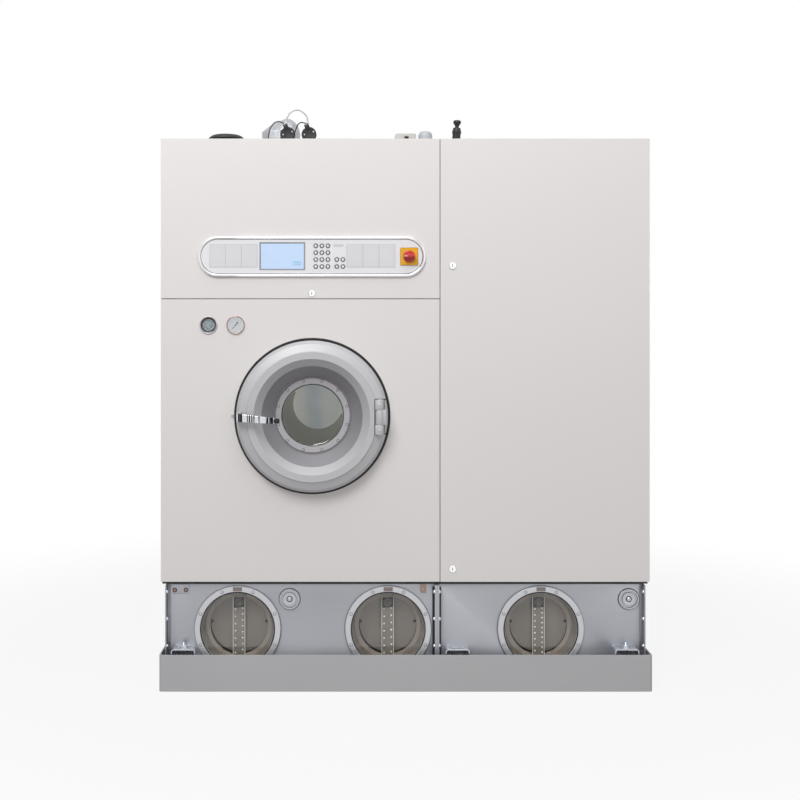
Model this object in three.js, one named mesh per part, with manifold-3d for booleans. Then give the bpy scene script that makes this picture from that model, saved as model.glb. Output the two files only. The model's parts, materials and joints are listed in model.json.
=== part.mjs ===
import * as THREE from 'three';
import { mergeVertices } from 'three/addons/utils/BufferGeometryUtils.js';
import Module from 'manifold-3d';

// Dry cleaning machine, millimetres. X to the right, Y to the back, Z up.
// The origin is the centre of the drip tray's underside.

// Clearances shared by all pieces
const restGap = 0.3; // between pieces that rest on one another
const turnGap = 0.6; // around pins, shafts and spindles
const seam = 3; // between neighbouring doors and panels

// Cabinet
const cabinetWidth = 1820;
const cabinetDepth = 1410;
const cabinetHeight = 1650;
const leftSectionWidth = 1038;
const sheet = 2; // panel thickness
const panelReturn = 22.7; // depth of the panels' folded edges
const flapHeight = 595;
const hingeRadius = 2.7; // barrel of the sheet metal hinges
const hingePinRadius = 1.2;
const hingeInset = 3; // from a door's edge to its hinge axis
const knuckleLength = 34;
const serviceHingeInset = 120;
const flapHingeInset = 110;

// Drip tray
const trayWidth = 1820;
const trayDepth = 1500;
const trayHeight = 135;
const trayWall = 4;
const trayCorner = 12;

// Solvent tanks
const tankWidth = 1786;
const tankDepth = 1370;
const tankTop = 384;
const tankFoot = 36; // height of the skids below the tanks
const tankWall = 3;
const tankFlange = 8; // bolted flange where the two tanks meet
const flangeProud = 28; // flanges stand this far in front of the tank face
const endFlange = 4;
const endGroove = 12; // groove behind each end flange
const endGrooveDepth = 20;
const skidWidth = 60;
const leftTankWidth = 1011.3;
const linerSetback = 60; // inner wall behind the windows
const linerHole = 109;
const levelStripWidth = 46;
const levelStripThickness = 6;
const plugRadius = 38.5;
const plugProud = 8;
const plugDrop = 55.8; // below the tanks' top
const plugInsets = { left: 461.7, right: 57.2 }; // from each tank's outer end
const flangeBoltRadius = 7;
const flangeBoltDrops = [26, 127, 228]; // below the tanks' top
const holdDownWidth = 89;
const holdDownReach = 52;
const holdDownTop = 152;
const holdDownInsets = { left: 25, joint: 29.7, right: 29 }; // from a tank's end to its bracket
const studRadius = 6;
const studRise = 22;

// Tank windows
const windowInsets = [267.6, 829.8]; // from the left tank's outer end
const rightWindowInset = 388.7; // from the joint of the tanks
const windowRise = 176.4; // above the tanks' underside
const windowOuter = 161.6;
const windowInner = 135;
const windowThickness = 10;
const windowPane = 5;
const windowBolts = 8;
const windowBoltCircle = 150;
const windowBoltRadius = 5.5;

// Drum and its housing
const drumInset = 564; // from the cabinet's left side to the drum's axis
const drumRise = 617; // above the cabinet's base
const cageRadius = 430;
const cageWall = 3;
const cageDepth = 704;
const cageMouth = 196;
const cageRun = 18; // space between the cage and the housing's end walls
const hubRadius = 109;
const hubThickness = 8;
const lifterHeight = 90;
const lifterWidth = 80;
const lifters = 3;
const housingRadius = 465;
const housingWall = 4;
const mouthRadius = 205;
const mouthRingRadius = 300;
const mouthRingThickness = 8;
const mouthSetback = 25; // mouth ring behind the cabinet's face
const collarLength = 52;
const bearingRadius = 60;
const bearingLength = 66;
const shaftRadius = 25;
const shaftFlangeRadius = 90;
const shaftFlangeThickness = 8;
const drumPulleyRadius = 170;
const pulleyWidth = 40;
const pulleyRun = 10; // between the bearing and the pulley
const saddleWidth = 500;
const saddleThickness = 36;

// Drive
const motorInset = 170;
const motorRise = 174;
const motorRadius = 100;
const motorLength = 280;
const motorFins = 12;
const motorShape = { endBell: 30, fin: 6, foot: 12, leg: 8 };
const motorBox = { half: 45, y: [90, 180], proud: 30 };
const motorPulleyRadius = 45;
const motorShaftRadius = 14;
const beltWidth = 28;
const beltThickness = 7;

// Loading door
const doorRadius = 281;
const rimDepth = 26; // the rim's outer edge stands this far in front of the cabinet
const rimBack = 6;
const ringOuter = 241;
const ringInner = 214;
const ringProud = 65;
const coneTop = 187;
const coneTopProud = 35;
const coneFoot = 147;
const coneDepth = 40; // the cone's foot lies this far behind the cabinet's face
const doorWall = 6;
const sealLipRadius = 216;
const sealLipWidth = 8;
const glassRadius = 128;
const glassView = 118;
const glassThickness = 5.4;
const glassCrown = 14;
const clampThickness = 6;
const clampScrews = 12;
const clampScrewCircle = 133.4;
const clampScrewRadius = 3.6;
const doorHingeX = 249; // hinge axis from the door's centre
const doorHingeProud = 62;
const doorHingeHalf = 64; // half height of the hinge
const barrelRadius = 16;
const barrelHalf = 27;
const doorPinRadius = 6;
const notchMargin = 3;

// Door handle
const handlePivotX = -266;
const handlePivotProud = 72;
const handleBarrel = 8;
const handleBarrelHalf = 12.5;
const handleDrop = 12; // the strip's tip lies this much below its pivot
const handleReach = 131;
const handleHeight = 30;
const handleTipHeight = 22;
const handleThickness = 5;
const handleEar = 6;
const handleEyeRadius = 7;
const tongueWidth = 10;
const tongueHalf = 6;
const tongueRun = 5; // between the tongue and the mouth ring
const handlePin = 3.5;

// Porthole trim
const trimInner = 281.8;
const trimOuter = 291;
const trimProud = 3;
const trimGrip = 5; // the trim covers this much of the panel's edge on the inside

// Frame of square tube
const post = 40;
const railStep = 1; // rails along X are this much thinner on each side, and rails along Y twice as much
const tubeWall = 3;
const crossRailY = [-400, 0, 200];
const vesselRailY = [-150, 150];

// Control flap and console
const consoleInset = 562.2;
const consoleDrop = 439.6; // from the cabinet's top to the console's middle
const consoleLength = 847;
const consoleHeight = 150;
const rimWidth = 12;
const rimProud = 10;
const fasciaProud = 6.3;
const keyRadius = 8;
const keyProud = 2;
const keyFlange = 9.4;
const keyFlangeThickness = 1;
const keyPocket = 3;
const keyTravel = 1.4;
const keyBlock = { columns: [14.8, 37.6, 59.9], rows: [39.8, 14.5, -11.2, -37.2] }; // from its middle
const sideKeyBlock = { columns: [93, 115.7], rows: [-11.2, -37.2] };
const screenPlace = { x: -109.4, z: 1.1 };
const screenWidth = 169;
const screenHeight = 103;
const screenBezel = 8;
const screenSunk = 1.5;
const switchPlace = { x: 362.1, z: 0.2 };
const switchPlate = 66;
const switchPlateThickness = 2;
const switchKnobRadius = 22.5;
const switchKnobBase = 10;
const switchGripWidth = 16;
const switchGripDepth = 20;
const switchShaftRadius = 5;

// Locks with a short cam behind the sheet
const flapLockInset = 561.8;
const flapLockRise = 18.8; // above the flap's lower edge
const doorLockInset = 45.2; // from the service door's left edge
const doorLockDrop = 473.1;
const doorLockRise = 47.5;
const lockHead = 13.75;
const lockProud = 3;
const lockBarrel = 9;
const lockCamReach = 15;
const lockCamWidth = 12;
const lockCamThickness = 4;
const lockDepth = 16;
const lockKeySlot = 2.4;

// Gauges
const gaugeDrop = 96.1; // below the lower front panel's top edge
const sightGlassInset = 177.5;
const sightGlassRadius = 32.9;
const pressureGaugeInset = 278.7;
const pressureGaugeRadius = 34;
const gaugeBezel = 5;
const gaugeBodyRadius = 27;
const gaugeBodyDepth = 38;
const sightTubeReach = 60;

// Latch plunger beside the loading door
const plungerX = -297; // from the door's centre
const plungerRadius = 4;
const plungerTail = 3; // behind the sheet

// Air unit with its duct through the top
const airUnitSize = { width: 700, depth: 980, height: 404 };
const airUnitPlace = { inset: 120, setback: 145, drop: 146 };
const airUnitWall = 3;
const airInletRadius = 90;
const airInletSetback = 455;
const ductInset = 437;
const ductSetback = 205;
const ductRadius = 77;
const ductSides = 10;
const ductRise = 54; // from the cabinet's top to the hood's shoulder
const hoodProfile = [[56, 27], [34, 43], [12, 54]]; // radius and height above the shoulder
const hoodLean = 0.45;
const ductOutlet = { width: 90, height: 40, sill: 14 };
const ductCollar = 12;

// Pressure switches on the top panel
const switchDiscSetback = 95;
const switchDiscInsets = [467.7, 548.6];
const switchDiscRise = 30.6;
const switchDiscRadius = 28.6;
const switchDiscThickness = 24;
const switchFoot = { half: 12, sunk: 10 };
const switchSocket = { x: [-20, 2], y: [-2, 18], z: [10, 12] }; // from the disc's middle, front and top
const switchScrews = { at: [[-17, -2], [17, 9]], radius: 3.4, proud: 2 };
const spigot = { x: -6, radius: 5, rise: 10, root: 4 };
const leadLink = { drop: 8, radius: 3.2, end: -4 };
const hoseRadius = 3;
const leadRadius = 2.6;

// Other fittings on the top panel
const ventInset = 227;
const ventSetback = 170;
const ventRadius = 70;
const ventRise = 40;
const ventRibs = 16;
const ventRibDepth = 3;
const ventShoulder = { inset: 4, drop: 5, crownInset: 12, ribDrop: 8 };
const terminal = { inset: 879, setback: 170, width: 81, depth: 60, rise: 52 };
const terminalDome = { inset: 997, radius: 30, rise: 61 };
const terminalPlate = { thickness: 3, edge: 6 };
const terminalSlot = { x: [-5, 12], depth: 8, z: [20, 34] };
const valveInset = 75; // from the service door's left edge
const valveSetback = 200;
const valveRadius = 18.5;
const valveRise = 74;
const valveLean = 3; // degrees
const valveFlange = { collar: 9, thickness: 4 };
const knobRadius = 16;
const knobHeight = 30;
const knobNeck = 8;

// Vessels behind the service door
const still = { inset: 214, radius: 185, height: 710, legX: 80 };
const filter = { inset: 205, radius: 165, height: 920, legX: 60 };
const vesselRise = 244; // above the cabinet's base
const vesselWall = 4;
const vesselLegRadius = 18;
const vesselNeck = 34;
const manhole = { radius: 110, proud: 30, rise: 564, handwheel: 60 };
const lidFlange = 22;

// Curves
const roundSegments = 24;
const mediumSegments = 14;
const smallSegments = 8;

// Places worked out from the sizes above
const left = -cabinetWidth / 2;
const right = cabinetWidth / 2;
const front = -cabinetDepth / 2;
const back = cabinetDepth / 2;
const base = tankTop + seam * 4;
const top = base + cabinetHeight;
const sheetBack = front + sheet;
const splitLeft = left + leftSectionWidth;
const splitRight = splitLeft + seam;
const flapBottom = top - flapHeight;
const lowerPanelTop = flapBottom - seam;
const frameFront = front + panelReturn + restGap;
const frameLeft = left + sheet + restGap;
const frameRight = right - sheet - restGap;
const frameBack = back - sheet - restGap;
const frameBase = tankTop + restGap;
const frameTop = top - sheet - restGap;
const drumX = left + drumInset;
const drumZ = base + drumRise;
const mouthY = front + mouthSetback;
const housingFrontY = mouthY + mouthRingThickness + collarLength;
const cageFrontY = housingFrontY + cageRun;
const cageBackY = cageFrontY + cageDepth;
const housingBackY = cageBackY + shaftFlangeThickness + cageRun + housingWall;
const bearingEndY = housingBackY + bearingLength;
const pulleyY = bearingEndY + pulleyRun;
const fasciaY = front - fasciaProud;
const hingeLength = 3 * knuckleLength;
const tankFront = -tankDepth / 2;
const tankBack = tankDepth / 2;
const tankBottom = trayWall + tankFoot;
const tankLeft = -tankWidth / 2;
const tankRight = tankWidth / 2;
const tankJointX = tankLeft + leftTankWidth;
const windowX = [...windowInsets.map((inset) => tankLeft + inset), tankJointX + rightWindowInset];
const windowZ = tankBottom + windowRise;
const motorX = left + motorInset;
const motorZ = base + motorRise;
const consoleX = left + consoleInset;
const consoleZ = top - consoleDrop;
const screenX = consoleX + screenPlace.x;
const screenZ = consoleZ + screenPlace.z;
const switchX = consoleX + switchPlace.x;
const switchZ = consoleZ + switchPlace.z;
const flapLockX = left + flapLockInset;
const flapLockZ = flapBottom + flapLockRise;
const doorLockX = splitRight + doorLockInset;
const doorLockZ = [top - doorLockDrop, base + doorLockRise];
const gaugeZ = lowerPanelTop - gaugeDrop;
const sightGlassX = left + sightGlassInset;
const pressureGaugeX = left + pressureGaugeInset;
const airUnit = {
  x: [left + airUnitPlace.inset, left + airUnitPlace.inset + airUnitSize.width],
  y: [front + airUnitPlace.setback, front + airUnitPlace.setback + airUnitSize.depth],
  z: [top - airUnitPlace.drop - airUnitSize.height, top - airUnitPlace.drop],
};
const airInletY = front + airInletSetback;
const ductX = left + ductInset;
const ductY = front + ductSetback;
const ductShoulder = top + ductRise;
const switchDiscX = switchDiscInsets.map((inset) => left + inset);
const switchDiscY = front + switchDiscSetback;
const switchDiscZ = top + switchDiscRise;
const ventX = left + ventInset;
const ventY = front + ventSetback;
const ventTop = top + ventRise;
const valveX = splitRight + valveInset;
const valveY = front + valveSetback;

// Solids
const manifold = await Module();
manifold.setup();

function signedVolume(position, triangles) {
  const a = new THREE.Vector3();
  const b = new THREE.Vector3();
  const c = new THREE.Vector3();
  let volume = 0;
  for (let i = 0; i < triangles.length; i += 3) {
    a.fromBufferAttribute(position, triangles[i]);
    b.fromBufferAttribute(position, triangles[i + 1]);
    c.fromBufferAttribute(position, triangles[i + 2]);
    volume += a.dot(b.cross(c));
  }
  return volume;
}

// Vertices that lie together become one, and triangles without an area go
function weld(geometry) {
  const bare = new THREE.BufferGeometry();
  bare.setAttribute('position', geometry.attributes.position);
  bare.setIndex(geometry.index);
  const merged = mergeVertices(bare, 1e-3);
  const triangles = [];
  const index = merged.index.array;
  for (let i = 0; i < index.length; i += 3) {
    const [a, b, c] = [index[i], index[i + 1], index[i + 2]];
    if (a !== b && b !== c && c !== a) {
      triangles.push(a, b, c);
    }
  }
  return { position: merged.attributes.position, triangles };
}

// A closed geometry as a solid, with its faces turned outwards
function solid(geometry) {
  const { position, triangles } = weld(geometry);
  if (signedVolume(position, triangles) < 0) {
    triangles.reverse();
  }
  const mesh = new manifold.Mesh({
    numProp: 3,
    vertProperties: new Float32Array(position.array),
    triVerts: new Uint32Array(triangles),
  });
  return new manifold.Manifold(mesh);
}

function geometryOf(body) {
  const mesh = body.getMesh();
  const whole = new THREE.BufferGeometry();
  whole.setAttribute('position', new THREE.BufferAttribute(mesh.vertProperties, 3));
  whole.setIndex(new THREE.BufferAttribute(mesh.triVerts, 1));
  const { position, triangles } = weld(whole);
  const geometry = new THREE.BufferGeometry();
  geometry.setAttribute('position', position);
  geometry.setIndex(triangles);
  geometry.computeVertexNormals();
  return geometry;
}

function join(bodies) {
  return bodies.reduce((whole, body) => whole.add(body).asOriginal());
}

function cut(body, tools) {
  return tools.reduce((rest, tool) => rest.subtract(tool).asOriginal(), body);
}

// Puts a geometry's two ends along one axis exactly at the given places
function span(geometry, axis, [low, high]) {
  geometry.computeBoundingBox();
  const middle = geometry.boundingBox.getCenter(new THREE.Vector3()).getComponent(axis);
  const position = geometry.attributes.position;
  for (let i = 0; i < position.count; i += 1) {
    position.setComponent(i, axis, position.getComponent(i, axis) < middle ? low : high);
  }
  return geometry;
}

// A block between two corners
function block(x, y, z) {
  const geometry = new THREE.BoxGeometry(1, 1, 1);
  [x, y, z].forEach((reach, axis) => span(geometry, axis, reach));
  return solid(geometry);
}

// Rods along each axis, from one end to the other
function rodY(x, z, y, radius, segments = smallSegments, radiusEnd = radius) {
  const geometry = new THREE.CylinderGeometry(radiusEnd, radius, 1, segments);
  geometry.translate(x, 0, z);
  return solid(span(geometry, 1, y));
}

function rodZ(x, y, z, radius, segments = smallSegments, radiusEnd = radius) {
  const geometry = new THREE.CylinderGeometry(radiusEnd, radius, 1, segments);
  geometry.rotateX(Math.PI / 2);
  geometry.translate(x, y, 0);
  return solid(span(geometry, 2, z));
}

function rodX(y, z, x, radius, segments = smallSegments) {
  const geometry = new THREE.CylinderGeometry(radius, radius, 1, segments);
  geometry.rotateZ(-Math.PI / 2);
  geometry.translate(0, y, z);
  return solid(span(geometry, 0, x));
}

// A hole that stays clear of a faceted rod by the given gap
function boreRadius(radius, gap, segments = smallSegments) {
  return (radius + gap) / Math.cos(Math.PI / segments);
}

// A profile of [radius, y] points turned about a line along Y
function turnedY(x, z, profile, segments = roundSegments) {
  const points = profile.map(([radius, y]) => new THREE.Vector2(radius, y));
  const geometry = new THREE.LatheGeometry(points, segments);
  geometry.translate(x, 0, z);
  return solid(geometry);
}

// A ring-shaped profile closed on itself
function ringY(x, z, profile, segments = roundSegments) {
  return turnedY(x, z, [...profile, profile[0]], segments);
}

// A profile of [radius, z] points turned about a line along Z
function turnedZ(x, y, profile, segments = roundSegments) {
  const points = profile.map(([radius, z]) => new THREE.Vector2(radius, z));
  const geometry = new THREE.LatheGeometry(points, segments);
  geometry.rotateX(Math.PI / 2);
  geometry.translate(x, y, 0);
  return solid(geometry);
}

// A shape drawn in X and Z, with its two faces at the given places along Y
function plateY(shape, y, curveSegments = smallSegments) {
  const geometry = new THREE.ExtrudeGeometry(shape, { depth: 1, bevelEnabled: false, curveSegments });
  geometry.rotateX(Math.PI / 2);
  return solid(span(geometry, 1, y));
}

// A shape drawn in X and Y, with its two faces at the given heights
function plateZ(shape, z, curveSegments = smallSegments) {
  const geometry = new THREE.ExtrudeGeometry(shape, { depth: 1, bevelEnabled: false, curveSegments });
  return solid(span(geometry, 2, z));
}

function outline(points) {
  return new THREE.Shape(points.map(([u, v]) => new THREE.Vector2(u, v)));
}

function roundedRectangle([u0, u1], [v0, v1], radius) {
  const shape = new THREE.Shape();
  shape.absarc(u1 - radius, v1 - radius, radius, 0, Math.PI / 2);
  shape.absarc(u0 + radius, v1 - radius, radius, Math.PI / 2, Math.PI);
  shape.absarc(u0 + radius, v0 + radius, radius, Math.PI, Math.PI * 1.5);
  shape.absarc(u1 - radius, v0 + radius, radius, Math.PI * 1.5, Math.PI * 2);
  return shape;
}

// A round tube that follows a list of points
function hose(points, radius, steps, sides = 6) {
  const shape = new THREE.Shape();
  for (let i = 0; i < sides; i += 1) {
    const angle = (i / sides) * Math.PI * 2;
    const corner = [radius * Math.cos(angle), radius * Math.sin(angle)];
    if (i === 0) {
      shape.moveTo(...corner);
    } else {
      shape.lineTo(...corner);
    }
  }
  shape.closePath();
  const path = new THREE.CatmullRomCurve3(points.map((point) => new THREE.Vector3(...point)));
  return solid(new THREE.ExtrudeGeometry(shape, { steps, bevelEnabled: false, extrudePath: path }));
}

function onCircle(count, radius, offset = 0) {
  const places = [];
  for (let i = 0; i < count; i += 1) {
    const angle = ((i + offset) / count) * Math.PI * 2;
    places.push([radius * Math.cos(angle), radius * Math.sin(angle)]);
  }
  return places;
}

const root = new THREE.Group();

const finishes = {
  paint: { color: 0xdbd9d6, roughness: 0.5, metalness: 0 },
  galvanised: { color: 0xa9abb0, roughness: 0.45, metalness: 0.7 },
  steel: { color: 0xc2c4c6, roughness: 0.3, metalness: 0.9 },
  castGrey: { color: 0x9d9d9e, roughness: 0.4, metalness: 0.5 },
  chrome: { color: 0xd8dadc, roughness: 0.12, metalness: 1 },
  dark: { color: 0x232325, roughness: 0.6, metalness: 0 },
  rubber: { color: 0x151515, roughness: 0.8, metalness: 0 },
  glass: { color: 0xcfdadd, roughness: 0.05, metalness: 0 },
  yellow: { color: 0xe8b414, roughness: 0.5, metalness: 0 },
  red: { color: 0xc4211c, roughness: 0.45, metalness: 0 },
  silver: { color: 0xcbccd0, roughness: 0.4, metalness: 0.4 },
  blue: { color: 0x9fcbe6, roughness: 0.2, metalness: 0 },
  motor: { color: 0x4d5d6b, roughness: 0.5, metalness: 0.2 },
  beige: { color: 0xb9b6aa, roughness: 0.6, metalness: 0 },
};

function place(name, body, finish) {
  const mesh = new THREE.Mesh(geometryOf(body), new THREE.MeshStandardMaterial(finishes[finish]));
  mesh.name = name;
  root.add(mesh);
}

// Sheet metal doors and panels, each with folded returns on the named sides
const hingeAxisY = sheetBack + hingeInset;
const hingeClear = hingeAxisY + 2 * hingeInset;
const hingeAxisX = right - hingeInset;
const hingeAxisZ = top - hingeInset;
const returnInset = 5;

function frontSheet([x0, x1], [z0, z1], sides) {
  const y = [sheetBack - restGap, front + panelReturn];
  const inner = { x: [x0 + returnInset, x1 - returnInset], z: [z0 + returnInset, z1 - returnInset] };
  const low = returnInset + panelReturn;
  const returns = {
    left: () => block([inner.x[0], inner.x[0] + sheet], y, [inner.z[0], z1 - low]),
    right: () => block([inner.x[1] - sheet, inner.x[1]], y, [inner.z[0], z1 - low]),
    bottom: () => block([inner.x[0], x1 - low], y, [inner.z[0], inner.z[0] + sheet]),
    top: () => block([inner.x[0], x1 - low], y, [inner.z[1] - sheet, inner.z[1]]),
  };
  return join([block([x0, x1], [front, sheetBack], [z0, z1]), ...sides.map((side) => returns[side]())]);
}

// The three knuckles of one hinge lie along the hinge axis from its start
function knuckleSpans(start) {
  const spans = [];
  for (let i = 0; i < 3; i += 1) {
    const low = start + i * knuckleLength;
    spans.push([low + turnGap / 2, low + knuckleLength - turnGap / 2]);
  }
  return spans;
}

const threeHinges = (start, end, inset) => (
  [start + inset, (start + end - hingeLength) / 2, end - inset - hingeLength]
);
const serviceHinges = threeHinges(base, top, serviceHingeInset);
const flapHinges = threeHinges(left, splitLeft, flapHingeInset);
const leafThickness = 1.9;
const leafY = [hingeAxisY, frameFront - restGap];

function serviceHingeFixed() {
  return join(serviceHinges.flatMap((start) => {
    const spans = knuckleSpans(start);
    const leaf = [right - sheet - leafThickness + restGap, right - sheet + restGap];
    return [
      rodZ(hingeAxisX, hingeAxisY, [spans[0][0], spans[2][1]], hingePinRadius),
      ...[spans[0], spans[2]].flatMap((span) => [
        rodZ(hingeAxisX, hingeAxisY, span, hingeRadius),
        block(leaf, leafY, span),
      ]),
    ];
  }));
}

function serviceHingeMoving() {
  const bore = boreRadius(hingePinRadius, restGap);
  return serviceHinges.map((start) => {
    const span = knuckleSpans(start)[1];
    const knuckle = rodZ(hingeAxisX, hingeAxisY, span, hingeRadius);
    const web = block([hingeAxisX - hingeRadius, hingeAxisX], [sheetBack - restGap, hingeAxisY], span);
    return cut(knuckle.add(web), [rodZ(hingeAxisX, hingeAxisY, [span[0] - 1, span[1] + 1], bore)]);
  });
}

function flapHingeFixed() {
  return join(flapHinges.flatMap((start) => {
    const spans = knuckleSpans(start);
    const leaf = [top - sheet - leafThickness + restGap, top - sheet + restGap];
    return [
      rodX(hingeAxisY, hingeAxisZ, [spans[0][0], spans[2][1]], hingePinRadius),
      ...[spans[0], spans[2]].flatMap((span) => [
        rodX(hingeAxisY, hingeAxisZ, span, hingeRadius),
        block(span, leafY, leaf),
      ]),
    ];
  }));
}

function flapHingeMoving() {
  const bore = boreRadius(hingePinRadius, restGap);
  return flapHinges.map((start) => {
    const span = knuckleSpans(start)[1];
    const knuckle = rodX(hingeAxisY, hingeAxisZ, span, hingeRadius);
    const web = block(span, [sheetBack - restGap, hingeAxisY], [hingeAxisZ - hingeRadius, hingeAxisZ]);
    return cut(knuckle.add(web), [rodX(hingeAxisY, hingeAxisZ, [span[0] - 1, span[1] + 1], bore)]);
  });
}

function dripTray() {
  const span = (width, inset) => [-width / 2 + inset, width / 2 - inset];
  const outer = roundedRectangle(span(trayWidth, 0), span(trayDepth, 0), trayCorner);
  const inner = roundedRectangle(span(trayWidth, trayWall), span(trayDepth, trayWall), trayCorner - trayWall);
  return plateZ(outer, [0, trayHeight], 4).subtract(plateZ(inner, [trayWall, trayHeight + 1], 4));
}

// Frame of square tube: posts, rails and the cross rails that carry the drum, motor and vessels
const midX = [splitLeft + seam / 2 - post / 2, splitLeft + seam / 2 + post / 2];
const leftX = [frameLeft, frameLeft + post];
const rightX = [frameRight - post, frameRight];
const frontY = [frameFront, frameFront + post];
const backY = [frameBack - post, frameBack];
const baseRailZ = [frameBase, frameBase + post];
const topRailZ = [frameTop - post, frameTop];

const railTop = baseRailZ[1] - railStep;

function frame() {
  const around = (y) => [y - post / 2, y + post / 2];
  const shrink = ([low, high], by) => [low + by, high - by];
  const bars = [];
  const railAlongX = (x, y, z) => bars.push([x, y, z].map((reach) => shrink(reach, railStep)));
  const railAlongY = (x, y, z) => bars.push([x, y, z].map((reach) => shrink(reach, 2 * railStep)));
  for (const z of [baseRailZ, topRailZ]) {
    railAlongX([leftX[0], rightX[1]], frontY, z);
    railAlongX([leftX[0], rightX[1]], backY, z);
    [leftX, midX, rightX].forEach((x) => railAlongY(x, [frontY[0], backY[1]], z));
  }
  railAlongX([leftX[0], midX[1]], frontY, [lowerPanelTop - post, lowerPanelTop]);
  crossRailY.forEach((y) => railAlongX([leftX[0], midX[1]], around(y), baseRailZ));
  vesselRailY.forEach((y) => railAlongX([midX[0], rightX[1]], around(y), baseRailZ));
  const posts = [leftX, midX, rightX].flatMap(
    (x) => [frontY, backY].map((y) => [x, y, [frameBase, frameTop]]),
  );
  const walls = [...bars, ...posts].map((reach) => block(...reach));
  const hollows = [
    ...bars.map((reach) => block(...reach.map((side) => shrink(side, tubeWall)))),
    ...posts.map(([x, y, z]) => block(shrink(x, tubeWall), shrink(y, tubeWall), shrink(z, -tubeWall))),
  ];
  return cut(join(walls), [join(hollows)]);
}

// Solvent tanks. Each has a face with round window openings and a bolted flange at the joint.
function hexBolt(x, y, z, along) {
  const rod = along === 'x' ? rodX(y, z, x, flangeBoltRadius, 6) : rodZ(x, y, z, flangeBoltRadius * 2, 6);
  return rod;
}

function holdDown(x) {
  const y = [tankFront - holdDownReach, tankFront + restGap];
  const edge = 6;
  const z = [trayWall + restGap, holdDownTop];
  const bridge = block([x, x + holdDownWidth], y, z);
  const arch = block([x + edge, x + holdDownWidth - edge], [y[0] - 1, y[1] - edge], [z[0] - 1, z[1] - edge]);
  const middle = x + holdDownWidth / 2;
  const studY = tankFront - holdDownReach / 2;
  return [
    bridge.subtract(arch),
    hexBolt(middle, studY, [holdDownTop - 1, holdDownTop + studRadius * 1.6], 'z'),
    rodZ(middle, studY, [holdDownTop - 1, holdDownTop + studRise], studRadius),
  ];
}

function plug(x, z) {
  const profile = [
    [0, tankFront + 1], [plugRadius, tankFront + 1], [plugRadius, tankFront - plugProud],
    [plugRadius - 8, tankFront - plugProud], [plugRadius - 12, tankFront - 1],
    [plugRadius - 17, tankFront - plugProud], [9, tankFront - plugProud], [7, tankFront - plugProud - 3],
    [0, tankFront - plugProud - 3],
  ];
  return turnedY(x, z, profile, mediumSegments);
}

function tank({ x, end, windows, plugPlace, holdDowns }) {
  const joint = x[0] === end ? x[1] : x[0];
  const inward = joint === x[1] ? -1 : 1;
  const range = (a, b) => [Math.min(a, b), Math.max(a, b)];
  const body = block(x, [tankFront, tankBack], [tankBottom, tankTop]);
  const jointFlange = block(
    range(joint, joint + inward * tankFlange), [tankFront - flangeProud, tankBack], [tankBottom, tankTop],
  );
  const outerFlange = block(
    range(end, end - inward * endFlange), [tankFront - flangeProud, tankFront + 1], [tankBottom, tankTop],
  );
  const skids = [x[0] + 80, (x[0] + x[1]) / 2 - skidWidth / 2, x[1] - 80 - skidWidth].map((low) => (
    block([low, low + skidWidth], [tankFront + 60, tankBack - 60], [trayWall + restGap, tankBottom + 1])
  ));
  const bolts = flangeBoltDrops.map((drop) => tankTop - drop).flatMap((z) => [
    hexBolt(range(joint, joint + inward * (tankFlange + 6)), tankFront - flangeProud / 2, z, 'x'),
    hexBolt(range(end, end - inward * (endFlange + 6)), tankFront - flangeProud / 2, z, 'x'),
  ]);
  const inner = {
    x: [x[0] + tankWall, x[1] - tankWall], y: [tankFront + tankWall, tankBack - tankWall],
    z: [tankBottom + tankWall, tankTop - tankWall],
  };
  const grooveInner = end - inward * (endFlange + endGroove);
  const groove = block(
    range(end - inward * endFlange, grooveInner), [tankFront - 1, tankFront + endGrooveDepth],
    [tankBottom - 1, tankTop + 1],
  );
  const behindGroove = block(
    range(joint + inward * tankWall, grooveInner - inward * tankWall),
    [inner.y[0], tankFront + endGrooveDepth + tankWall + 1], inner.z,
  );
  const cavity = block(
    range(joint + inward * tankWall, end - inward * tankWall),
    [tankFront + endGrooveDepth + tankWall, inner.y[1]], inner.z,
  );
  const holes = windows.map((windowCentre) => (
    rodY(windowCentre, windowZ, [tankFront - 1, tankFront + tankWall + 1], windowInner, roundSegments)
  ));
  const linerY = [tankFront + linerSetback, tankFront + linerSetback + tankWall];
  const liner = cut(
    block([inner.x[0] - 1, inner.x[1] + 1], linerY, [inner.z[0] - 1, inner.z[1] + 1]),
    windows.map((centre) => rodY(centre, windowZ, [linerY[0] - 1, linerY[1] + 1], linerHole, roundSegments)),
  );
  const strips = windows.map((centre) => block(
    [centre - levelStripWidth / 2, centre + levelStripWidth / 2],
    [linerY[0] - levelStripThickness, linerY[0] + 1], [inner.z[0] - 1, inner.z[1] + 1],
  ));
  const shell = cut(join([body, jointFlange, outerFlange]), [groove, behindGroove, cavity, ...holes]);
  return join([
    shell, liner, ...strips, ...skids, ...bolts, plug(...plugPlace),
    ...holdDowns.flatMap((at) => holdDown(at)),
  ]);
}

const plugZ = tankTop - plugDrop;

function leftTank() {
  const x = [tankLeft, tankJointX - restGap / 2];
  return tank({
    x, end: x[0], windows: windowX.slice(0, 2), plugPlace: [x[0] + plugInsets.left, plugZ],
    holdDowns: [x[0] + holdDownInsets.left],
  });
}

function rightTank() {
  const x = [tankJointX + restGap / 2, tankRight];
  return tank({
    x, end: x[1], windows: windowX.slice(2), plugPlace: [x[1] - plugInsets.right, plugZ],
    holdDowns: [tankJointX + holdDownInsets.joint, x[1] - holdDownInsets.right - holdDownWidth],
  });
}

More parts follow.
